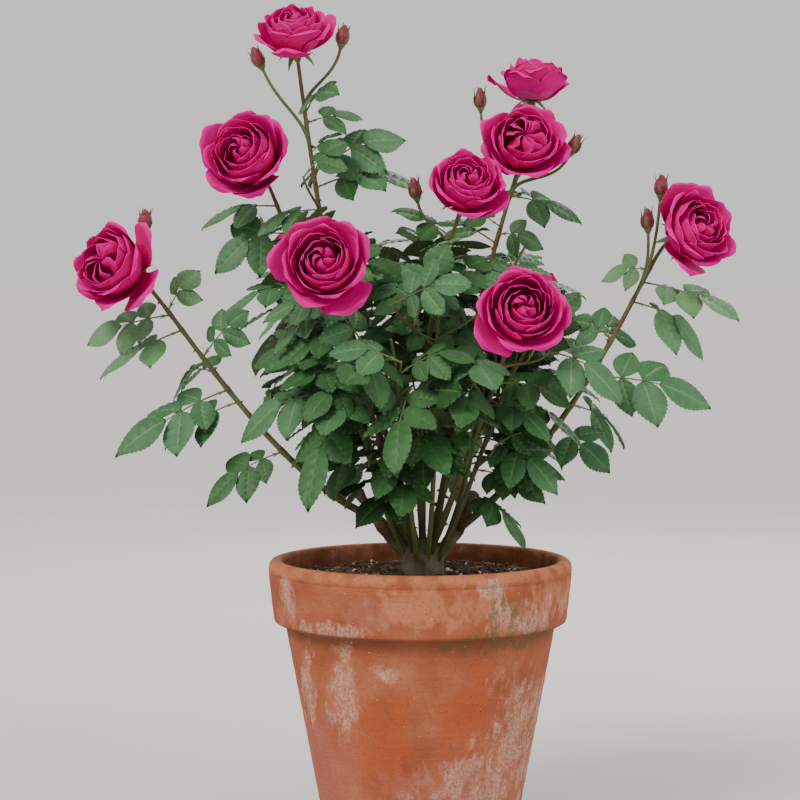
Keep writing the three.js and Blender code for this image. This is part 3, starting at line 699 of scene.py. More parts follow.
def leaflet_template():
    """Faces run forward as the veins do; each station is a vein or the raised part between two."""
    s = np.linspace(0, 1, STATIONS + 1)
    half = BLADE["breadth"] / 2 * np.sin(np.pi * s**0.8) ** 0.85
    half[0], half[-1] = 0.012, 0.0
    lean = BLADE["slope"] * np.sin(np.pi * s) ** 0.7
    last = len(COLUMNS)
    points, top, rows, index = [], [], [], {}

    def vertex(tag, a, x, lift):
        if tag not in index:
            index[tag] = len(points)
            reach = abs(x)
            points.append((a, x, BLADE["fold"] * reach - BLADE["roll"] * reach * reach + lift))
        return index[tag]

    def station(k, c, side):
        share = COLUMNS[c] if c < last else 1.0
        ridge = BLADE["vein"] * (1 if k % 2 else -1) * (0.3 if c == 1 else 1)
        ahead = s[k] + lean[k] * share**1.5 * half[k]
        lift = 0.0 if c in (0, last) else ridge
        return vertex((k, c, side if c else 0), ahead, side * share * half[k], lift)

    for side in (1, -1):
        for j in range(STATIONS):
            quads = [[station(k, c, side) for k in (j, j + 1)] for c in range(last + 1)]
            made = []
            for c, ((a0, a1), (b0, b1)) in enumerate(zip(quads, quads[1:last])):
                made += [([a0, a1, b1], min(c, 1)), ([a0, b1, b0], min(c, 1))]
            (c0, c1), (e0, e1) = quads[last - 1 :]
            t = s[j] + 0.75 / STATIONS
            wide = np.interp(t, s, half)
            out = wide + BLADE["tooth"] * min(1, 3 * wide / BLADE["breadth"])
            tip = vertex((j, TIP, side), t + np.interp(t, s, lean) * wide + 0.012, side * out, 0)
            made += [([c0, tip, e0], 1), ([c0, c1, tip], 1), ([c1, e1, tip], 1)]
            for face, row in made:
                top.append(face if side < 0 else face[::-1])
                rows.append(row)
    return np.array(points), np.array(top), np.array(rows)


LEAFLET, LEAFLET_FACES, LEAFLET_ROWS = leaflet_template()
UNDER = {"middle": 0.4, "edge": 0.12}
# How far chance turns, dips, rolls, lengthens, curls and waves a leaflet
LEAFLET_LUCK = {"turn": 14, "dip": 0.5, "roll": 0.5, "length": 0.12, "curl": 0.16, "wave": 0.05}
# The narrow wing beside the foot of a leaf's stalk
WING = np.array([[0.5, 0.4], [7, 1.6], [11.5, 3.6], [8.5, 0.7], [1.5, 0.4]])
WING_FACES = np.array([[0, 1, 3], [0, 3, 4], [1, 2, 3]])


def add_leaflet(piece, plan, number, greens, rib):
    start, angle, length = plan["leaflets"][number]

    def luck(salt):
        return chance(plan["mass"], plan["key"], 30 + number * 7 + salt) - 0.5

    a = math.radians(angle + LEAFLET_LUCK["turn"] * luck(0))
    dip = 0.12 + LEAFLET_LUCK["dip"] * luck(1)
    roll = LEAFLET_LUCK["roll"] * luck(2)
    grow = length * (1 + LEAFLET_LUCK["length"] * luck(3))
    curl = 0.12 + LEAFLET_LUCK["curl"] * (luck(4) + 0.5)
    ahead = np.array([math.cos(a) * math.cos(dip), math.sin(a) * math.cos(dip), -math.sin(dip)])
    level = np.array([-math.sin(a), math.cos(a), 0.0])
    face = np.cross(ahead, level)
    level, face = (
        level * math.cos(roll) + face * math.sin(roll),
        face * math.cos(roll) - level * math.sin(roll),
    )
    along, across, off = LEAFLET.T
    wave = LEAFLET_LUCK["wave"] * luck(5) * np.sin(along * 5) * across * 4
    off = off - curl * along**2 * (1 - 0.3 * along) + wave
    laid_out = np.outer(along, ahead) + np.outer(across, level) + np.outer(off, face)
    u, v, w = (np.array([start, 0.5 * np.sign(angle), 0.0]) + grow * laid_out).T
    depth = np.clip(1 - np.abs(across) / 0.3, 0, 1) * UNDER["middle"]
    piece.add(bent(plan, u, v, w), LEAFLET_FACES, [rib, greens], LEAFLET_ROWS)
    piece.add(bent(plan, u, v, w - depth - UNDER["edge"]), LEAFLET_FACES[:, ::-1], "leaf_under")


def add_leaf(piece, plan, greens):
    """Leaflets with their upper and under sides, and the stalk with a pair of small wings."""
    # Leaves in painted shade get the darker rib.
    rib = "painted_shade_rib" if greens in ("leaf_painted_shade", "leaf_mid") else "leaf_rib"
    for number in range(len(plan["leaflets"])):
        add_leaflet(piece, plan, number, greens, rib)
    end = plan["leaflets"][-1][0]
    u = np.linspace(-1.5, end + 1.5, 8)
    radii = np.linspace(1.1, 0.6, 8) * min(1, plan["scale"] + 0.1)
    piece.add(*tube(bent(plan, u, u * 0, u * 0 - 0.4), radii, 5), "leaf_stalk")
    for side in (1, -1):
        u, v = WING.T
        wing = bent(plan, u, side * v, u * 0 - 0.3)
        piece.add(wing, WING_FACES, "leaf_stalk")
        piece.add(wing - plan["normal"] * 0.3, WING_FACES[:, ::-1], "leaf_stalk")


# The share of leaves with a painted backlit glow, the steps from painted shade to painted light, and the
# reach and height that place them.
PAINTED_BACKLIGHT_SHARE = 0.016
GREEN_UNTIL = {"leaf_painted_shade": 0.4, "leaf_mid": 0.66, "leaf_cool": 0.98}
CROWN = {"reach": 160, "height": 420}


def green_by_painted_light(plan):
    """Painted light and shade by the leaf's place, with some chance: deeper greens as painted shade low in
    the middle, cooler and paler ones as painted light on the outside and at the top, and a few yellower
    ones as a painted backlit glow.
    """
    mass, key = plan["mass"], plan["key"]
    spot = plan["root"] + plan["along"] * 40
    outside = np.hypot(spot[0] - UNION[0], spot[1]) / CROWN["reach"]
    height = (spot[2] - POT["height"]) / CROWN["height"]
    place = 0.55 * outside + 0.45 * height + 0.5 * (chance(mass, key, 21) - 0.5)
    if chance(mass, key, 22) < PAINTED_BACKLIGHT_SHARE:
        return "leaf_lit"
    return next((name for name, until in GREEN_UNTIL.items() if place < until), "leaf_pale")


PRICKLES = {
    "cane": {"spacing": 17, "size": 6},
    "stem": {"spacing": 19, "size": 5.5},
    "shoot": {"spacing": 26, "size": 4},
    "twig": {"spacing": 24, "size": 3.2},
}
# Sections of a prickle, in shares of its length: how far out, how far back, half height, half width
HOOK = [(0, 0, 0.42, 0.2), (0.5, 0.06, 0.2, 0.12), (1, 0.34, 0.02, 0.02)]


def add_prickles(piece, path, shares, radii, kind, key):
    """Hooked prickles along a stem between two shares, at their own places by chance."""
    low, high = shares
    count = int(path.length * (high - low) / PRICKLES[kind]["spacing"])
    angles = round_angles(5)
    faces = ring_faces(3, 5) + [[10, 11, 12], [10, 12, 13], [10, 13, 14]]
    for i in range(count):
        t = low + (high - low) * (i + 0.2 + 0.6 * chance(key, i, 41)) / count
        heading = path.heading(t)
        out = turned(square_to(heading, outward_at(path.at(t))), heading, 360 * chance(key, i, 42))
        long = PRICKLES[kind]["size"] * (0.6 + 0.6 * chance(key, i, 43))
        foot = path.at(t) + out * (lerp(*radii, (t - low) / (high - low)) - 0.3)
        beside = np.cross(heading, out)
        rings = []
        for reach, hook, tall, wide in HOOK:
            middle = foot + out * long * reach - heading * long * hook
            ring = np.outer(np.cos(angles) * tall * long, heading)
            rings.append(middle + ring + np.outer(np.sin(angles) * wide * long, beside))
        piece.add(np.concatenate(rings), faces, "prickle")


def add_stem(piece, path, shares, radii, look, key, joints=(), sides=10):
    """A stem between two shares of its path, thicker at its joints and slightly fluted."""
    low, high = shares
    places = np.linspace(low, high, max(6, int(path.length * (high - low) / 5)) + 1)
    thick = lerp(*radii, (places - low) / (high - low))
    for t in joints:
        thick = thick * (1 + 0.22 * np.exp(-(((places - t) * path.length / 4) ** 2)))
    flutes = np.outer(places * path.length / 9, np.ones(sides)) + round_angles(sides) * 2 + key
    piece.add(*tube(path.at(places), thick, sides, 1 + 0.045 * np.sin(flutes)), look)


def grid_faces(rows, columns):
    faces, row_of = [], []
    for i in range(rows):
        for j in range(columns):
            a = i * (columns + 1) + j
            b = a + columns + 1
            faces += [[a, a + 1, b + 1], [a, b + 1, b]]
            row_of += [i, i]
    return np.array(faces), np.array(row_of)


PETAL_V = np.array([0, 0.13, 0.26, 0.38, 0.5, 0.61, 0.71, 0.8, 0.875, 0.935, 0.978, 1])
PETAL_ROWS, PETAL_COLUMNS = len(PETAL_V) - 1, 12
PETAL_FACES, PETAL_ROW_OF = grid_faces(PETAL_ROWS, PETAL_COLUMNS)
# How far out petals reach and how high their tips stand, from the heart to the outermost.
OUTS = [0, 0.3, 0.55, 0.7, 0.85, 1]
TIP_REACH = [0.03, 0.3, 0.47, 0.63, 0.83, 1.0]
TIP_HEIGHT = [0.86, 0.96, 0.97, 0.88, 0.72, 0.52]


def petal(radius, height, out, key, number):
    """A petal's grid of points round the bloom's own axis, which is z; out goes from 0 to 1."""

    def luck(salt):
        return chance(key, number, salt) - 0.5

    v = PETAL_V[:, None]
    u = np.linspace(-1, 1, PETAL_COLUMNS + 1)[None, :]
    notch = 0.04 * out * np.exp(-(((u - 0.3 * luck(58)) / 0.2) ** 2))
    # A blunt top, notched in the outer petals
    v = v * (1 - (0.14 + 0.18 * out) * np.abs(u) ** (2.4 - 0.4 * out) - notch)
    # The profile, from the foot by two handles to the tip: closed in the heart, open outside
    loose = smooth(0.45, 0.9, out)
    tip_r = radius * float(np.interp(out, OUTS, TIP_REACH)) * (1 + (0.05 + 0.2 * out * out) * luck(51))
    tip_z = height * (float(np.interp(out, OUTS, TIP_HEIGHT)) + (0.03 + 0.15 * out) * luck(52))
    r1 = lerp(tip_r * 1.1 + 0.16 * radius, tip_r * 0.75, loose)
    r2 = lerp(tip_r * 1.12 + 0.1 * radius * (1 - out), tip_r * 0.9, loose)
    z1 = height * (0.14 - 0.22 * out)
    z2 = tip_z * lerp(0.75, 1.08, loose) + 0.05 * height * loose
    s = 1 - v
    r = s**3 * 0.05 * radius + 3 * s * s * v * r1 + 3 * s * v * v * r2 + v**3 * tip_r
    z = 3 * s * s * v * z1 + 3 * s * v * v * z2 + v**3 * tip_z
    # The breadth, wrapped round the bloom's axis
    wide = radius * lerp(0.18, 0.56, out**0.8) * (1 + 0.16 * luck(55))
    half = wide * (0.35 + 0.65 * smooth(0, 0.6, v)) * (1 - 0.1 * smooth(0.85, 1, v))
    turn = u * np.minimum(half / np.maximum(r, 0.08 * radius), lerp(1.7, 1.05, out))
    # The rim rolls back and waves, and one side of a petal lies over the next
    rim = np.clip((v - 0.82) / 0.18, 0, 1)
    wave = np.sin(u * (3 + 2.4 * luck(53)) + 6 * luck(54)) * v**3
    frill = np.sin(u * (9 + 4 * luck(57)) + 6 * luck(60)) * rim
    r = r + radius * (0.06 * rim**2 * (0.1 + out) + 0.035 * u * smooth(0.1, 0.6, v))
    r = r + radius * (0.042 * wave * (0.25 + out) + 0.012 * frill)
    z = z + height * (0.1 * wave * (0.2 + out) - 0.1 * rim**2 * (0.2 + out) + 0.022 * frill)
    z = z - radius * 0.18 * out**3 * np.abs(u) ** 2.5 * v * v
    return np.stack([r * np.cos(turn), r * np.sin(turn), z + 0 * u], axis=2)


def frame_of(facing):
    """Two directions square to facing and to each other."""
    a = unit(np.cross(facing, UP if abs(facing[2]) < 0.9 else np.array([1.0, 0, 0])))
    return a, np.cross(facing, a)


def laid(points, base, facing):
    a, b = frame_of(facing)
    flat = points.reshape(-1, 3)
    return base + np.outer(flat[:, 0], a) + np.outer(flat[:, 1], b) + np.outer(flat[:, 2], facing)


def spun(points, angle):
    c, s = math.cos(angle), math.sin(angle)
    turned_points = points.copy()
    turned_points[..., 0] = points[..., 0] * c - points[..., 1] * s
    turned_points[..., 1] = points[..., 0] * s + points[..., 1] * c
    return turned_points


def grid_normals(grid):
    down = np.gradient(grid, axis=0)
    across = np.gradient(grid, axis=1)
    normal = np.cross(across, down)
    return normal / np.maximum(np.linalg.norm(normal, axis=2), 1e-9)[..., None]


def lathe(profile, sides):
    """A closed turned skin from (radius, height) pairs that start and end on the axis."""
    angles = round_angles(sides)
    rings = [np.stack([r * np.cos(angles), r * np.sin(angles), np.full(sides, z)], 1) for r, z in profile]
    return np.concatenate(rings), np.array(ring_faces(len(profile), sides))


def blade(length, width, lift, spread, base_r, cup=0.3, rows=6):
    """A narrow pointed blade from the axis: out by spread and up by lift, both as lists to join."""
    v = np.linspace(0, 1, rows + 1)[:, None]
    u = np.linspace(-1, 1, 5)[None, :]
    r = base_r + length * read_off(spread, v)
    z = length * read_off(lift, v)
    half = width / 2 * (0.75 + 0.25 * np.sin(np.pi * v)) * (1 - v**1.6)
    return np.stack([r - cup * half * u * u, half * u, z + 0 * u], axis=2)


BLADE_FACES, _ = grid_faces(6, 4)


def add_blade(piece, grid, angle, base, facing, look, thick=0.5):
    spun_grid = spun(grid, angle)
    depth = grid_normals(spun_grid) * thick
    piece.add(laid(spun_grid, base, facing), BLADE_FACES, look)
    piece.add(laid(spun_grid - depth, base, facing), BLADE_FACES[:, ::-1], look)


# The folded petals in the heart of a bloom, each under the next like the blades of a fan. A bloom
# that is quartered has more of them, looser and over more of its width.
FOLD = {"inner": 0.03, "low": 0.34}
FOLD_TOPS = [0.9, 0.96, 1.0, 0.97, 0.84]
FOLDS = {"count": 5, "swirl": 1.0, "reach": 0.25, "rings_from": 0.22, "luck": 0.6}
QUARTER_FOLDS = {"count": 9, "swirl": 0.5, "reach": 0.44, "rings_from": 0.42, "luck": 1.5}
FOLD_V = np.array([0, 0.2, 0.4, 0.56, 0.7, 0.81, 0.89, 0.95, 0.98, 0.993, 1.004, 1.01])


def fold(radius, height, folds, key, number):
    """One fold's grid: its rows rise from under the next fold to its own rim."""
    v = FOLD_V[:, None]
    t = np.linspace(1, 0, PETAL_COLUMNS + 1)[None, :]
    pitch = 2 * math.pi / folds["count"]
    loose = 1 + folds["luck"] * (chance(key, number, 64) - 0.5)
    bulge = 0.16 * np.sin(np.pi * t) * loose
    wave = 0.16 * np.sin(t * 9 + 6 * chance(key, number, 65)) * t
    angle = folds["swirl"] * loose * t**0.85 + bulge + wave - (1 - v) * pitch * 1.25
    reach = folds["reach"] * (0.88 + 0.24 * chance(key, number, 67))
    r = radius * (lerp(FOLD["inner"], reach, t) + 0.02 * (1 - v) * t)
    top = height * (read_off(FOLD_TOPS, t) + 0.06 * t * (loose - 1))
    z = top - height * FOLD["low"] * np.maximum(1 - v, 0) ** 1.3 * (0.35 + 0.65 * t)
    z = z - height * 0.012 * np.clip((v - 0.9) / 0.1, 0, 1.1) ** 2
    return np.stack([r * np.cos(angle), r * np.sin(angle), z + 0 * t], axis=2)


def petal_rows(*runs):
    """The look of each row of a petal, from its foot to its rim."""
    return ["petal_" + name for name, count in runs for _ in range(count)]


# Rows from foot to rim: the darker rows at the foot are partly painted shade deep in the bloom, and the
# edge and rim rows are partly painted highlight.
INNER_ROWS = petal_rows(("depth", 2), ("heart", 3), ("core", 3), ("mid", 1), ("edge", 1), ("rim", 1))
HEART_ROWS = petal_rows(("depth", 3), ("heart", 3), ("core", 3), ("broad", 2))
OUTER_ROWS = petal_rows(("depth", 1), ("heart", 2), ("broad", 7), ("edge", 1))
FOLD_ROWS = petal_rows(("depth", 2), ("heart", 2), ("core", 4), ("broad", 1), ("edge", 1), ("rim", 1))
BACK_ROWS = petal_rows(("claw", 3), ("back", 6), ("broad", 1), ("edge", 1))
PETALS = 36
HEART = 3
OUTER_FROM = 0.6
QUARTERED = ("left", "upper_right", "back_left")
PETAL_DEPTH = 0.45
SEPALS = {"count": 5, "step": 1.257}


def add_petal(piece, grid, base, facing, rows):
    border = np.ones(grid.shape[:2])
    border[-1, :] = border[:, 0] = border[:, -1] = 0
    back = grid + grid_normals(grid) * border[..., None] * PETAL_DEPTH
    piece.add(laid(grid, base, facing), PETAL_FACES, rows, PETAL_ROW_OF)
    piece.add(laid(back, base, facing), PETAL_FACES[:, ::-1], BACK_ROWS, PETAL_ROW_OF)


def make_bloom(name, bloom, key):
    piece = Piece("petals_" + name)
    radius, height = bloom["diameter"] / 2, bloom["height"]
    seat = (bloom["base"], bloom["facing"])
    first_angle = 6.283 * chance(key, 1, 50)
    folds = QUARTER_FOLDS if name in QUARTERED else FOLDS
    for number in range(PETALS):
        out = number / (PETALS - 1)
        if HEART <= number and out < folds["rings_from"]:
            continue
        angle = first_angle + math.radians(GOLDEN_TURN) * number + 0.2 * (chance(key, number, 56) - 0.5)
        rows = OUTER_ROWS if out > OUTER_FROM else INNER_ROWS if number >= HEART else HEART_ROWS
        add_petal(piece, spun(petal(radius, height, out, key, number), angle), *seat, rows)
    for number in range(folds["count"]):
        place = number + 0.3 * (chance(key, number, 66) - 0.5)
        angle = first_angle + 2 * math.pi * place / folds["count"]
        add_petal(piece, spun(fold(radius, height, folds, key, number), angle), *seat, FOLD_ROWS)
    for k in range(SEPALS["count"]):
        sepal = blade(23, 7, [0, -0.1, -0.3, -0.56], [0, 0.36, 0.6, 0.76], 3)
        add_blade(piece, sepal, SEPALS["step"] * k + 0.3 * chance(key, k, 57), *seat, "sepal")
    low, wide = HIP["length"], HIP["radius"]
    hip = [(0, -low - 1), (1.9, -low), (3.4, -9.5), (wide, -6), (4.5, -3), (3.4, -0.5), (3, 1.5)]
    skin, faces = lathe(hip, 14)
    piece.add(laid(skin, *seat), faces, "sepal")
    piece.make(["bloom_" + name])


BUD_HIP = [(0, -1.5), (1.5, -1), (2.4, 1), (3.9, 3.4), (4.3, 5.6), (3.6, 7.5), (0, 8)]


def add_bud(piece, root, facing, key):
    """A pointed bud: its rolled petals, and its sepals round them."""
    swell = BUD["radius"] * (0.8 + 0.25 * chance(key, 3, 61))
    waist = [(0, 3), (3, 3.5), (5.2, 6.5), (swell, 11), (swell * 0.98, 14), (swell * 0.74, 19)]
    profile = np.array(waist + [(2.2, 23.5), (0, 25)])
    radii, levels = (read_off(line, np.linspace(0, 1, 16)) for line in profile.T)
    skin, faces = lathe(list(zip(radii, levels)), 18)
    phase = (np.arctan2(skin[:, 1], skin[:, 0]) * 3 / (2 * math.pi) + skin[:, 2] / 13) % 1
    skin[:, :2] *= (1 + 0.13 * (phase - 0.5))[:, None]
    piece.add(laid(skin, root, facing), faces, "bud_red")
    hip, hip_faces = lathe(BUD_HIP, 12)
    piece.add(laid(hip, root, facing), hip_faces, "sepal")
    for k in range(SEPALS["count"]):
        spread = [0.0, 0.145, 0.135, 0.08, 0.1 + 0.12 * chance(key, k, 62)]
        grid = blade(27, 6.4, [0.13, 0.3, 0.51, 0.7, 1.0], spread, 3.4, cup=0.45)
        add_blade(piece, grid, SEPALS["step"] * k + 0.3, root, facing, "bud_sepal", 0.6)


PRICKLES_FROM, PRICKLES_UNTIL = 0.04, 0.93


def make_wood(index, mass):
    """The bare cane, and the leafy stem with its twigs, stalks and buds."""
    path, name, start, bushy = mass["path"], mass["name"], mass["start"], mass["bushy"]

    def radii(low, high, flare=0.0):
        return lerp(mass["base"], mass["tip"], low) + flare, lerp(mass["base"], mass["tip"], high)

    if not bushy:
        bough = Piece("bark_" + name)
        add_stem(bough, path, (0, start), radii(0, start, 0.4), "cane_skin", index)
        add_prickles(bough, path, (PRICKLES_FROM, start), radii(0, start), "cane", index)
        bough.make(["cane_" + name])

    wood = Piece("stems_" + name)
    joints = mass["joints"] + [leaf[0] for leaf in mass["leaves"]]
    look, kind = ("twig_skin", "shoot") if bushy else ("cane_skin", "stem")
    add_stem(wood, path, (start, 1), radii(start, 1), look, index, joints)
    prickly = (start + 0.02, PRICKLES_UNTIL)
    add_prickles(wood, path, prickly, radii(start, PRICKLES_UNTIL), kind, index + 40)
    for number, (side, base, tip, owner, grown, end) in enumerate(stems):
        if owner == index:
            add_stem(wood, side, (0, end), (base, tip), "twig_skin", number, sides=8)
            if grown == "twig":
                add_prickles(wood, side, (0.15, end * 0.9), (base, tip), grown, number + 90)
    for number, (root, facing, owner) in enumerate(buds):
        if owner == index:
            add_bud(wood, root, facing, number)
    wood.make()


def make_foliage(index, mass):
    foliage = Piece("leaflets_" + mass["name"])
    for plan in leaf_plans:
        if plan["mass"] == index:
            add_leaf(foliage, plan, green_by_painted_light(plan))
    foliage.make(["leaves_" + mass["name"]])


for index, mass in enumerate(MASSES):
    make_wood(index, mass)
    make_foliage(index, mass)
for key, (name, bloom) in enumerate(BLOOMS.items()):
    make_bloom(name, bloom, key)


def baked(made):
    """The mesh that an object's modifiers give it, which becomes its own."""
    graph = bpy.context.evaluated_depsgraph_get()
    mesh = bpy.data.meshes.new_from_object(made.evaluated_get(graph))
    made.modifiers.clear()
    made.data = mesh
    return mesh


BARK = {"voxel": 1.3, "soften": 0.6, "passes": 8, "ridges": 0.95, "lumps": 2.1, "cracks": 0.3}


def make_union():
    """The solid of the graft union remeshed, with the relief of old bark."""
    made = bpy.data.objects.new("old_wood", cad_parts["graft_union"].data.copy())
    bpy.context.scene.collection.objects.link(made)
    made.data.materials.clear()
    remesh = made.modifiers.new("voxels", "REMESH")
    remesh.mode = "VOXEL"
    remesh.voxel_size = BARK["voxel"] * MM
    soften = made.modifiers.new("soften", "SMOOTH")
    soften.factor = BARK["soften"]
    soften.iterations = BARK["passes"]
    mesh = baked(made)
    co = np.array([v.co for v in mesh.vertices]) / MM
    normals = np.array([v.normal for v in mesh.vertices])
    x, y, z = co.T
    around = np.arctan2(y, x - UNION[0])
    ridges = np.sin(around * 17 + 1.6 * np.sin(z / 7)) * 0.5 + np.sin(around * 9 - z / 5) * 0.35
    lumps = np.sin(x / 4.1 + 1) * np.sin(y / 3.7) * np.sin(z / 4.9)
    cracks = np.sin(around * 37 + 2.2 * np.sin(z / 3.3)) * np.sin(z / 2.6 + 3 * around)
    push = ridges * BARK["ridges"] + lumps * BARK["lumps"] + cracks * BARK["cracks"]
    co += normals * push[:, None]
    co[:, 2] = np.maximum(co[:, 2], SOIL_LEVEL - 2)
    mesh.vertices.foreach_set("co", (co * MM).ravel())
    mesh.polygons.foreach_set("use_smooth", np.ones(len(mesh.polygons), bool))
    mesh.materials.append(LOOKS["old_bark"])
    mesh.update()
    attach(made, "root")
    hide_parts("graft_union")


make_union()


# Weathered places on the front of the pot: x and height of the middle, half width, half height
FRONT = {
    "salt": [
        (-74, 170, 17, 44), (-38, 186, 20, 12), (-108, 165, 8, 40), (96, 120, 40, 62), (48, 60, 60, 46),
        (-86, 226, 34, 10), (-128, 250, 8, 26), (98, 240, 40, 20), (66, 268, 16, 10),
    ],
    "moss": [(72, 214, 56, 13), (84, 243, 26, 17)],
    "blush": [(-46, 246, 40, 20), (-100, 90, 40, 50), (16, 50, 80, 50)],
    "vivid": [(-34, 120, 34, 54), (46, 150, 46, 50)],
    "light": [(14, 250, 66, 22), (118, 252, 26, 22)],
}
CLAY_DARK, CLAY, CLAY_PALE = (148, 76, 50), (164, 90, 60), (178, 108, 78)
LIP_INSIDE = (0.1365, 0.1385)


def pot_look():
    """Clay in three tones, under layers that go from wide to fine: weathering, and a painted shadow under
    the band.
    """
    look = Look("terracotta_clay", 0.84, specular=0.2)
    place = look.node("SeparateXYZ", {"Vector": look.node("TexCoord", {})["Object"]})

    def maths(operation, a, b, clamp=False):
        return look.node("Math", {0: a, 1: b}, operation=operation, use_clamp=clamp)["Value"]

    def times(first, *others):
        """A product that is kept from 0 to 1."""
        for other in others:
            first = maths("MULTIPLY", first, other, True)
        return first

    def square(value):
        return maths("MULTIPLY", value, value)

    def spread(value, low, high):
        """0 under low and 1 above high, the other way round where high is the smaller."""
        values = {"Value": value, "From Min": low, "From Max": high}
        return look.node("MapRange", values, interpolation_type="SMOOTHSTEP")["Result"]

    def level(low, high):
        return spread(place["Z"], low * MM, high * MM)

    def patches(size, low, high, detail=6.0, stretch=(1, 1, 1)):
        return spread(look.noise(size, detail, stretch), low, high)

    def wave(size, detail, strength):
        centred = maths("SUBTRACT", look.noise(size, detail, (1, 1, 0.6)), 0.5)
        return maths("MULTIPLY", centred, strength)

    def away(axis, middle, reach):
        return maths("MULTIPLY", maths("SUBTRACT", place[axis], middle * MM), 1 / (reach * MM))

    ragged = maths("ADD", wave(34, 8.0, 3.2), wave(9, 7.0, 3.4))
    front = spread(place["Y"], 0.02, -0.02)

    def spots(kind):
        """The places of a kind with ragged edges, on the side that faces front."""
        total = 0.0
        for x, z, wide, tall in FRONT[kind]:
            squares = maths("ADD", square(away("X", x, wide)), square(away("Z", z, tall)))
            total = maths("MAXIMUM", total, spread(maths("ADD", squares, ragged), 1.15, 0.2))
        return times(total, front)

    clay = [(0.3, srgb(*CLAY_DARK)), (0.5, srgb(*CLAY)), (0.7, srgb(*CLAY_PALE))]
    color = look.ramp(look.noise(46, 6.0), clay)
    streaks = times(patches(9, 0.22, 0.66, 6.0, (1, 1, 0.3)), patches(2.0, 0.26, 0.66, 5.0, (1, 1, 0.7)))
    behind = times(patches(58, 0.5, 0.68, 7.0, (1, 1, 0.5)), maths("SUBTRACT", 1.0, front), 0.7)
    salt = times(maths("MAXIMUM", spots("salt"), behind), streaks, 0.94)
    moss = times(spots("moss"), patches(6, 0.42, 0.56, 4.0, (1, 1, 0.4)), 0.8)
    from_axis = maths("ADD", square(place["X"]), square(place["Y"]))
    inside = times(spread(from_axis, LIP_INSIDE[1] ** 2, LIP_INSIDE[0] ** 2), level(235, 250))
    # A darker strip just under the band: painted shadow.
    painted_shadow_under_band = times(level(198, 219), level(222.5, 220.5), 0.7)
    rubbed_lip = times(level(266, 276), patches(20, 0.35, 0.6), 0.5)
    layers = [
        (times(spots("vivid"), 0.6), (180, 86, 46)),
        (times(spots("blush"), 0.6), (172, 98, 84)),
        (times(spots("light"), 0.5), (206, 136, 100)),
        (salt, (202, 162, 144)),
        (rubbed_lip, (206, 132, 92)),
        (moss, (98, 96, 56)),
        # The painted shadow under the band.
        (painted_shadow_under_band, (108, 68, 46)),
        (times(inside, patches(16, 0.3, 0.62), 0.6), (104, 64, 46)),
        (times(patches(3, 0.48, 0.72), 0.4), (120, 66, 46)),
        (times(patches(2.6, 0.7, 0.74, 2.0), 0.75), (66, 42, 32)),
        (times(patches(3.0, 0.7, 0.75, 2.0), 0.45), (228, 196, 168)),
    ]
    for share, tint in layers:
        color = look.blend(share, color, (*srgb(*tint), 1))
    turning = maths("MULTIPLY", look.noise(4.2, 3.0, (0.04, 0.04, 1)), 0.8)
    grain = maths("MULTIPLY", look.noise(1.5, 5.0), 0.7)
    look.finish(color, maths("ADD", turning, grain), 0.8)


pot_look()


def turned_profile(knots, step):
    """Knots (radius, height) joined by short lengths, so that the skin can take relief."""
    points = [knots[0]]
    for (r0, z0), (r1, z1) in zip(knots, knots[1:]):
        count = max(1, int(math.hypot(r1 - r0, z1 - z0) / step))
        points += [(lerp(r0, r1, i / count), lerp(z0, z1, i / count)) for i in range(1, count + 1)]
    return points


def make_pot():
    """The pot turned in one piece from outside to inside, a little uneven, with its drain holes."""
    rim, band, neck, foot, wall, lip = (POT[k] for k in ("rim", "band", "neck", "foot", "wall", "lip"))
    top = POT["height"]
    knots = [
        (0, 0), (foot - 2.4, 0), (foot - 0.7, 0.6), (foot, 2),
        (neck, LEDGE - 3), (neck + 0.8, LEDGE - 1.4), (band - 3.4, LEDGE - 0.4), (band - 1, LEDGE + 1),
        (band, LEDGE + 4), (rim, top - 13.5), (rim - 0.9, top - 12.6), (rim - 0.9, top - 11.8),
        (rim, top - 10.8), (rim - 0.2, top - 7), (rim - 1.4, top - lip * 0.7), (rim - lip * 0.8, top - 1),
        (rim - lip * 1.4, top), (rim - wall + 3, top), (rim - wall + 0.6, top - 1),
        (rim - wall - 1.5, top - 4), (rim - wall - 3.5, LEDGE + 30), (neck - wall, LEDGE - 6),
        (foot - wall + 3, POT["floor"]), (0, POT["floor"]),
    ]
    skin, faces = lathe(turned_profile(knots, 6), 160)
    x, y, z = skin.T
    angle, r = np.arctan2(y, x), np.hypot(x, y)
    wobble = 0.5 * np.sin(2 * angle + 0.6) + 0.25 * np.sin(5 * angle + z / 60) + 0.14 * np.sin(z / 3.1)
    share = np.where(r > 60, wobble / np.maximum(r, 1), 0) * smooth(0, 12, z)
    skin[:, :2] *= (1 + share - 0.004 * (r > 60))[:, None]
    piece = Piece("pot_clay")
    piece.add(skin, faces, "terracotta_clay")
    pot = piece.make(["pot"])
    for i in range(DRAIN["holes"]):
        a = i / DRAIN["holes"] * 2 * math.pi + math.pi / 2
        spot = (DRAIN["ring"] * math.cos(a) * MM, DRAIN["ring"] * math.sin(a) * MM, 0)
        bpy.ops.mesh.primitive_cylinder_add(
            vertices=24, radius=DRAIN["radius"] * MM, depth=60 * MM, location=spot
        )
        drill = bpy.context.object
        cut = pot.modifiers.new("drain", "BOOLEAN")
        cut.operation = "DIFFERENCE"
        cut.object = drill
        baked(pot)
        bpy.data.objects.remove(drill)


make_pot()

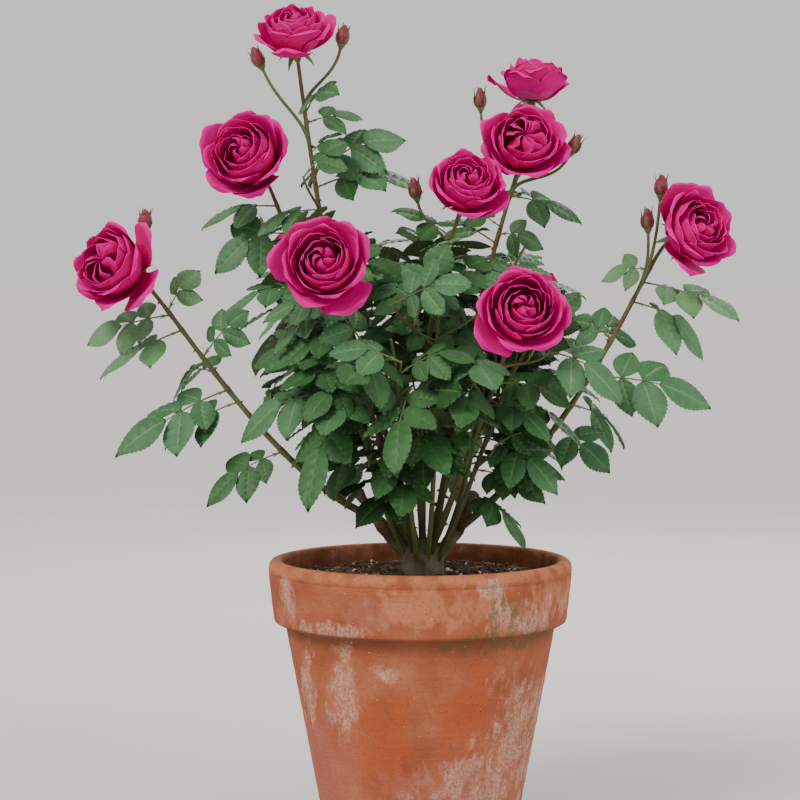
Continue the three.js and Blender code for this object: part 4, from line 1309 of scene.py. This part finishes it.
# Compost: its own surface, crumbs, perlite and bits of bark
plant_look("compost", (78, 58, 45), 0.95, vary=0.35, size_mm=4, bump_mm=1.2, specular=0.2)
plant_look("crumb", (96, 72, 56), 0.95, vary=0.3, size_mm=3, bump_mm=0.6, specular=0.2)
plant_look("perlite", (228, 222, 208), 0.8, vary=0.08, size_mm=2, bump_mm=0.3)
plant_look("bark_bit", (126, 90, 62), 0.85, vary=0.25, size_mm=4, bump_mm=0.4)
SCATTER = [
    {"look": "crumb", "count": 900, "small": 1.2, "large": 3.6, "flat": 0.8},
    {"look": "perlite", "count": 110, "small": 1.0, "large": 2.4, "flat": 0.9},
    {"look": "bark_bit", "count": 150, "small": 2.2, "large": 5.6, "flat": 0.35},
]
SOIL = {"rings": 66, "sides": 200, "gap": 0.8, "margin": 4}


def inside_radius(z):
    heights = [POT["floor"], LEDGE - 6, LEDGE + 30, POT["height"] - 4]
    inner = [POT["foot"] + 3, POT["neck"], POT["rim"] - 3.5, POT["rim"] - 1.5]
    return float(np.interp(z, heights, inner)) - POT["wall"]


def soil_height(x, y):
    r = np.hypot(x, y)
    base = SOIL_LEVEL + 1.6 * np.exp(-(((r - 70) / 40) ** 2)) - 2.5 * smooth(100, 131, r)
    lumps = np.sin(x / 5.3 + 0.7) * np.sin(y / 6.1)
    crumbs = 0.7 * np.sin(x / 2.9 + y / 3.7) * np.sin(y / 2.3 - x / 4.9)
    return base + 0.9 * (lumps + crumbs)


def crumb(size, key, flat=0.8):
    """A small rough lump, from an eight-sided seed pushed about by chance."""
    points = np.array([[1, 0, 0], [-1, 0, 0], [0, 1, 0], [0, -1, 0], [0, 0, 1], [0, 0, -1]], float)
    faces = [[0, 2, 4], [2, 1, 4], [1, 3, 4], [3, 0, 4], [2, 0, 5], [1, 2, 5], [3, 1, 5], [0, 3, 5]]
    middles = {}
    skin = points.tolist()
    split = []
    for a, b, c in faces:
        edges = []
        for i, j in ((a, b), (b, c), (c, a)):
            pair = (min(i, j), max(i, j))
            if pair not in middles:
                middles[pair] = len(skin)
                skin.append((unit((points[i] + points[j]) / 2)).tolist())
            edges.append(middles[pair])
        split += [[a, edges[0], edges[2]], [edges[0], b, edges[1]], [edges[2], edges[1], c], edges]
    skin = np.array(skin)
    pushes = np.array([0.7 + 0.6 * chance(key, i, 71) for i in range(len(skin))])
    return skin * pushes[:, None] * size * np.array([1, 0.85, flat]), np.array(split)


def make_soil():
    """The compost as one skin from its underside up to the uneven top, with what lies on it."""
    piece = Piece("compost_fill")
    sides, bottom = SOIL["sides"], POT["floor"] + GAP
    angles = round_angles(sides)
    edge = inside_radius(SOIL_LEVEL - 3) - SOIL["gap"]
    skin = [np.zeros((sides, 3)) + [0, 0, bottom]]
    for z in (bottom, LEDGE - 6, LEDGE + 30):
        r = inside_radius(z) - SOIL["gap"]
        skin.append(np.stack([r * np.cos(angles), r * np.sin(angles), np.full(sides, z)], 1))
    for share in np.linspace(0, 1, SOIL["rings"])[::-1]:
        x, y = edge * share * np.cos(angles), edge * share * np.sin(angles)
        skin.append(np.stack([x, y, soil_height(x, y)], 1))
    piece.add(np.concatenate(skin), ring_faces(len(skin), sides), "compost")
    number = 0
    for kind in SCATTER:
        for _ in range(kind["count"]):
            number += 1
            r = (edge - SOIL["margin"]) * math.sqrt(0.03 + 0.97 * chance(number, 1, 72))
            a = 2 * math.pi * chance(number, 2, 72)
            size = lerp(kind["small"], kind["large"], chance(number, 3, 72) ** 2)
            lump, faces = crumb(size, number, kind["flat"])
            lump = spun(lump, 6.28 * chance(number, 4, 72))
            x, y = r * math.cos(a), r * math.sin(a)
            piece.add(lump + [x, y, float(soil_height(x, y)) + size * 0.25], faces, kind["look"])
    piece.make(["soil"])


make_soil()

# Floor, light and camera
ground = Look("pale_floor", 0.9, specular=0.2)
pale = ground.ramp(ground.noise(400), [(0, (0.62, 0.61, 0.59)), (1, (0.68, 0.67, 0.65))])
ground.feed(ground.surface, {"Base Color": pale})
bpy.ops.mesh.primitive_plane_add(size=300)
floor = bpy.context.object
floor.name = "floor"
floor.data.materials.append(LOOKS["pale_floor"])

world = bpy.data.worlds.new("studio")
world.use_nodes = True
world.node_tree.nodes["Background"].inputs["Color"].default_value = (0.9, 0.89, 0.88, 1)
world.node_tree.nodes["Background"].inputs["Strength"].default_value = 0.9
bpy.context.scene.world = world


def add_light(name, kind, spot, toward, energy, color, **settings):
    data = bpy.data.lights.new(name, kind)
    data.energy, data.color = energy, color
    for setting, value in settings.items():
        setattr(data, setting, value)
    lamp = bpy.data.objects.new(name, data)
    lamp.location = spot
    lamp.rotation_euler = (Vector(toward) - Vector(spot)).to_track_quat("-Z", "Y").to_euler()
    bpy.context.scene.collection.objects.link(lamp)


MIDDLE = (0, 0, 0.45)
add_light("sun", "SUN", (0, 0, 0), (0.62, 0.7, -1), 2.2, (1, 0.97, 0.92), angle=math.radians(24))
add_light("fill", "AREA", (2.0, -1.2, 1.4), MIDDLE, 16, (0.92, 0.96, 1), size=1.8)
add_light("back", "AREA", (0.6, 2.2, 2.0), MIDDLE, 34, (1, 0.98, 0.95), size=1.6)

CAMERA = {"spot": (-0.0202, -2.3, 0.554), "pitch": 2.9, "lens": 105.2, "sensor": 36}
camera_data = bpy.data.cameras.new("camera")
camera_data.lens = CAMERA["lens"]
camera_data.sensor_width = CAMERA["sensor"]
camera = bpy.data.objects.new("camera", camera_data)
camera.location = CAMERA["spot"]
camera.rotation_euler = (math.radians(90 - CAMERA["pitch"]), 0, 0)
bpy.context.scene.collection.objects.link(camera)
bpy.context.scene.camera = camera
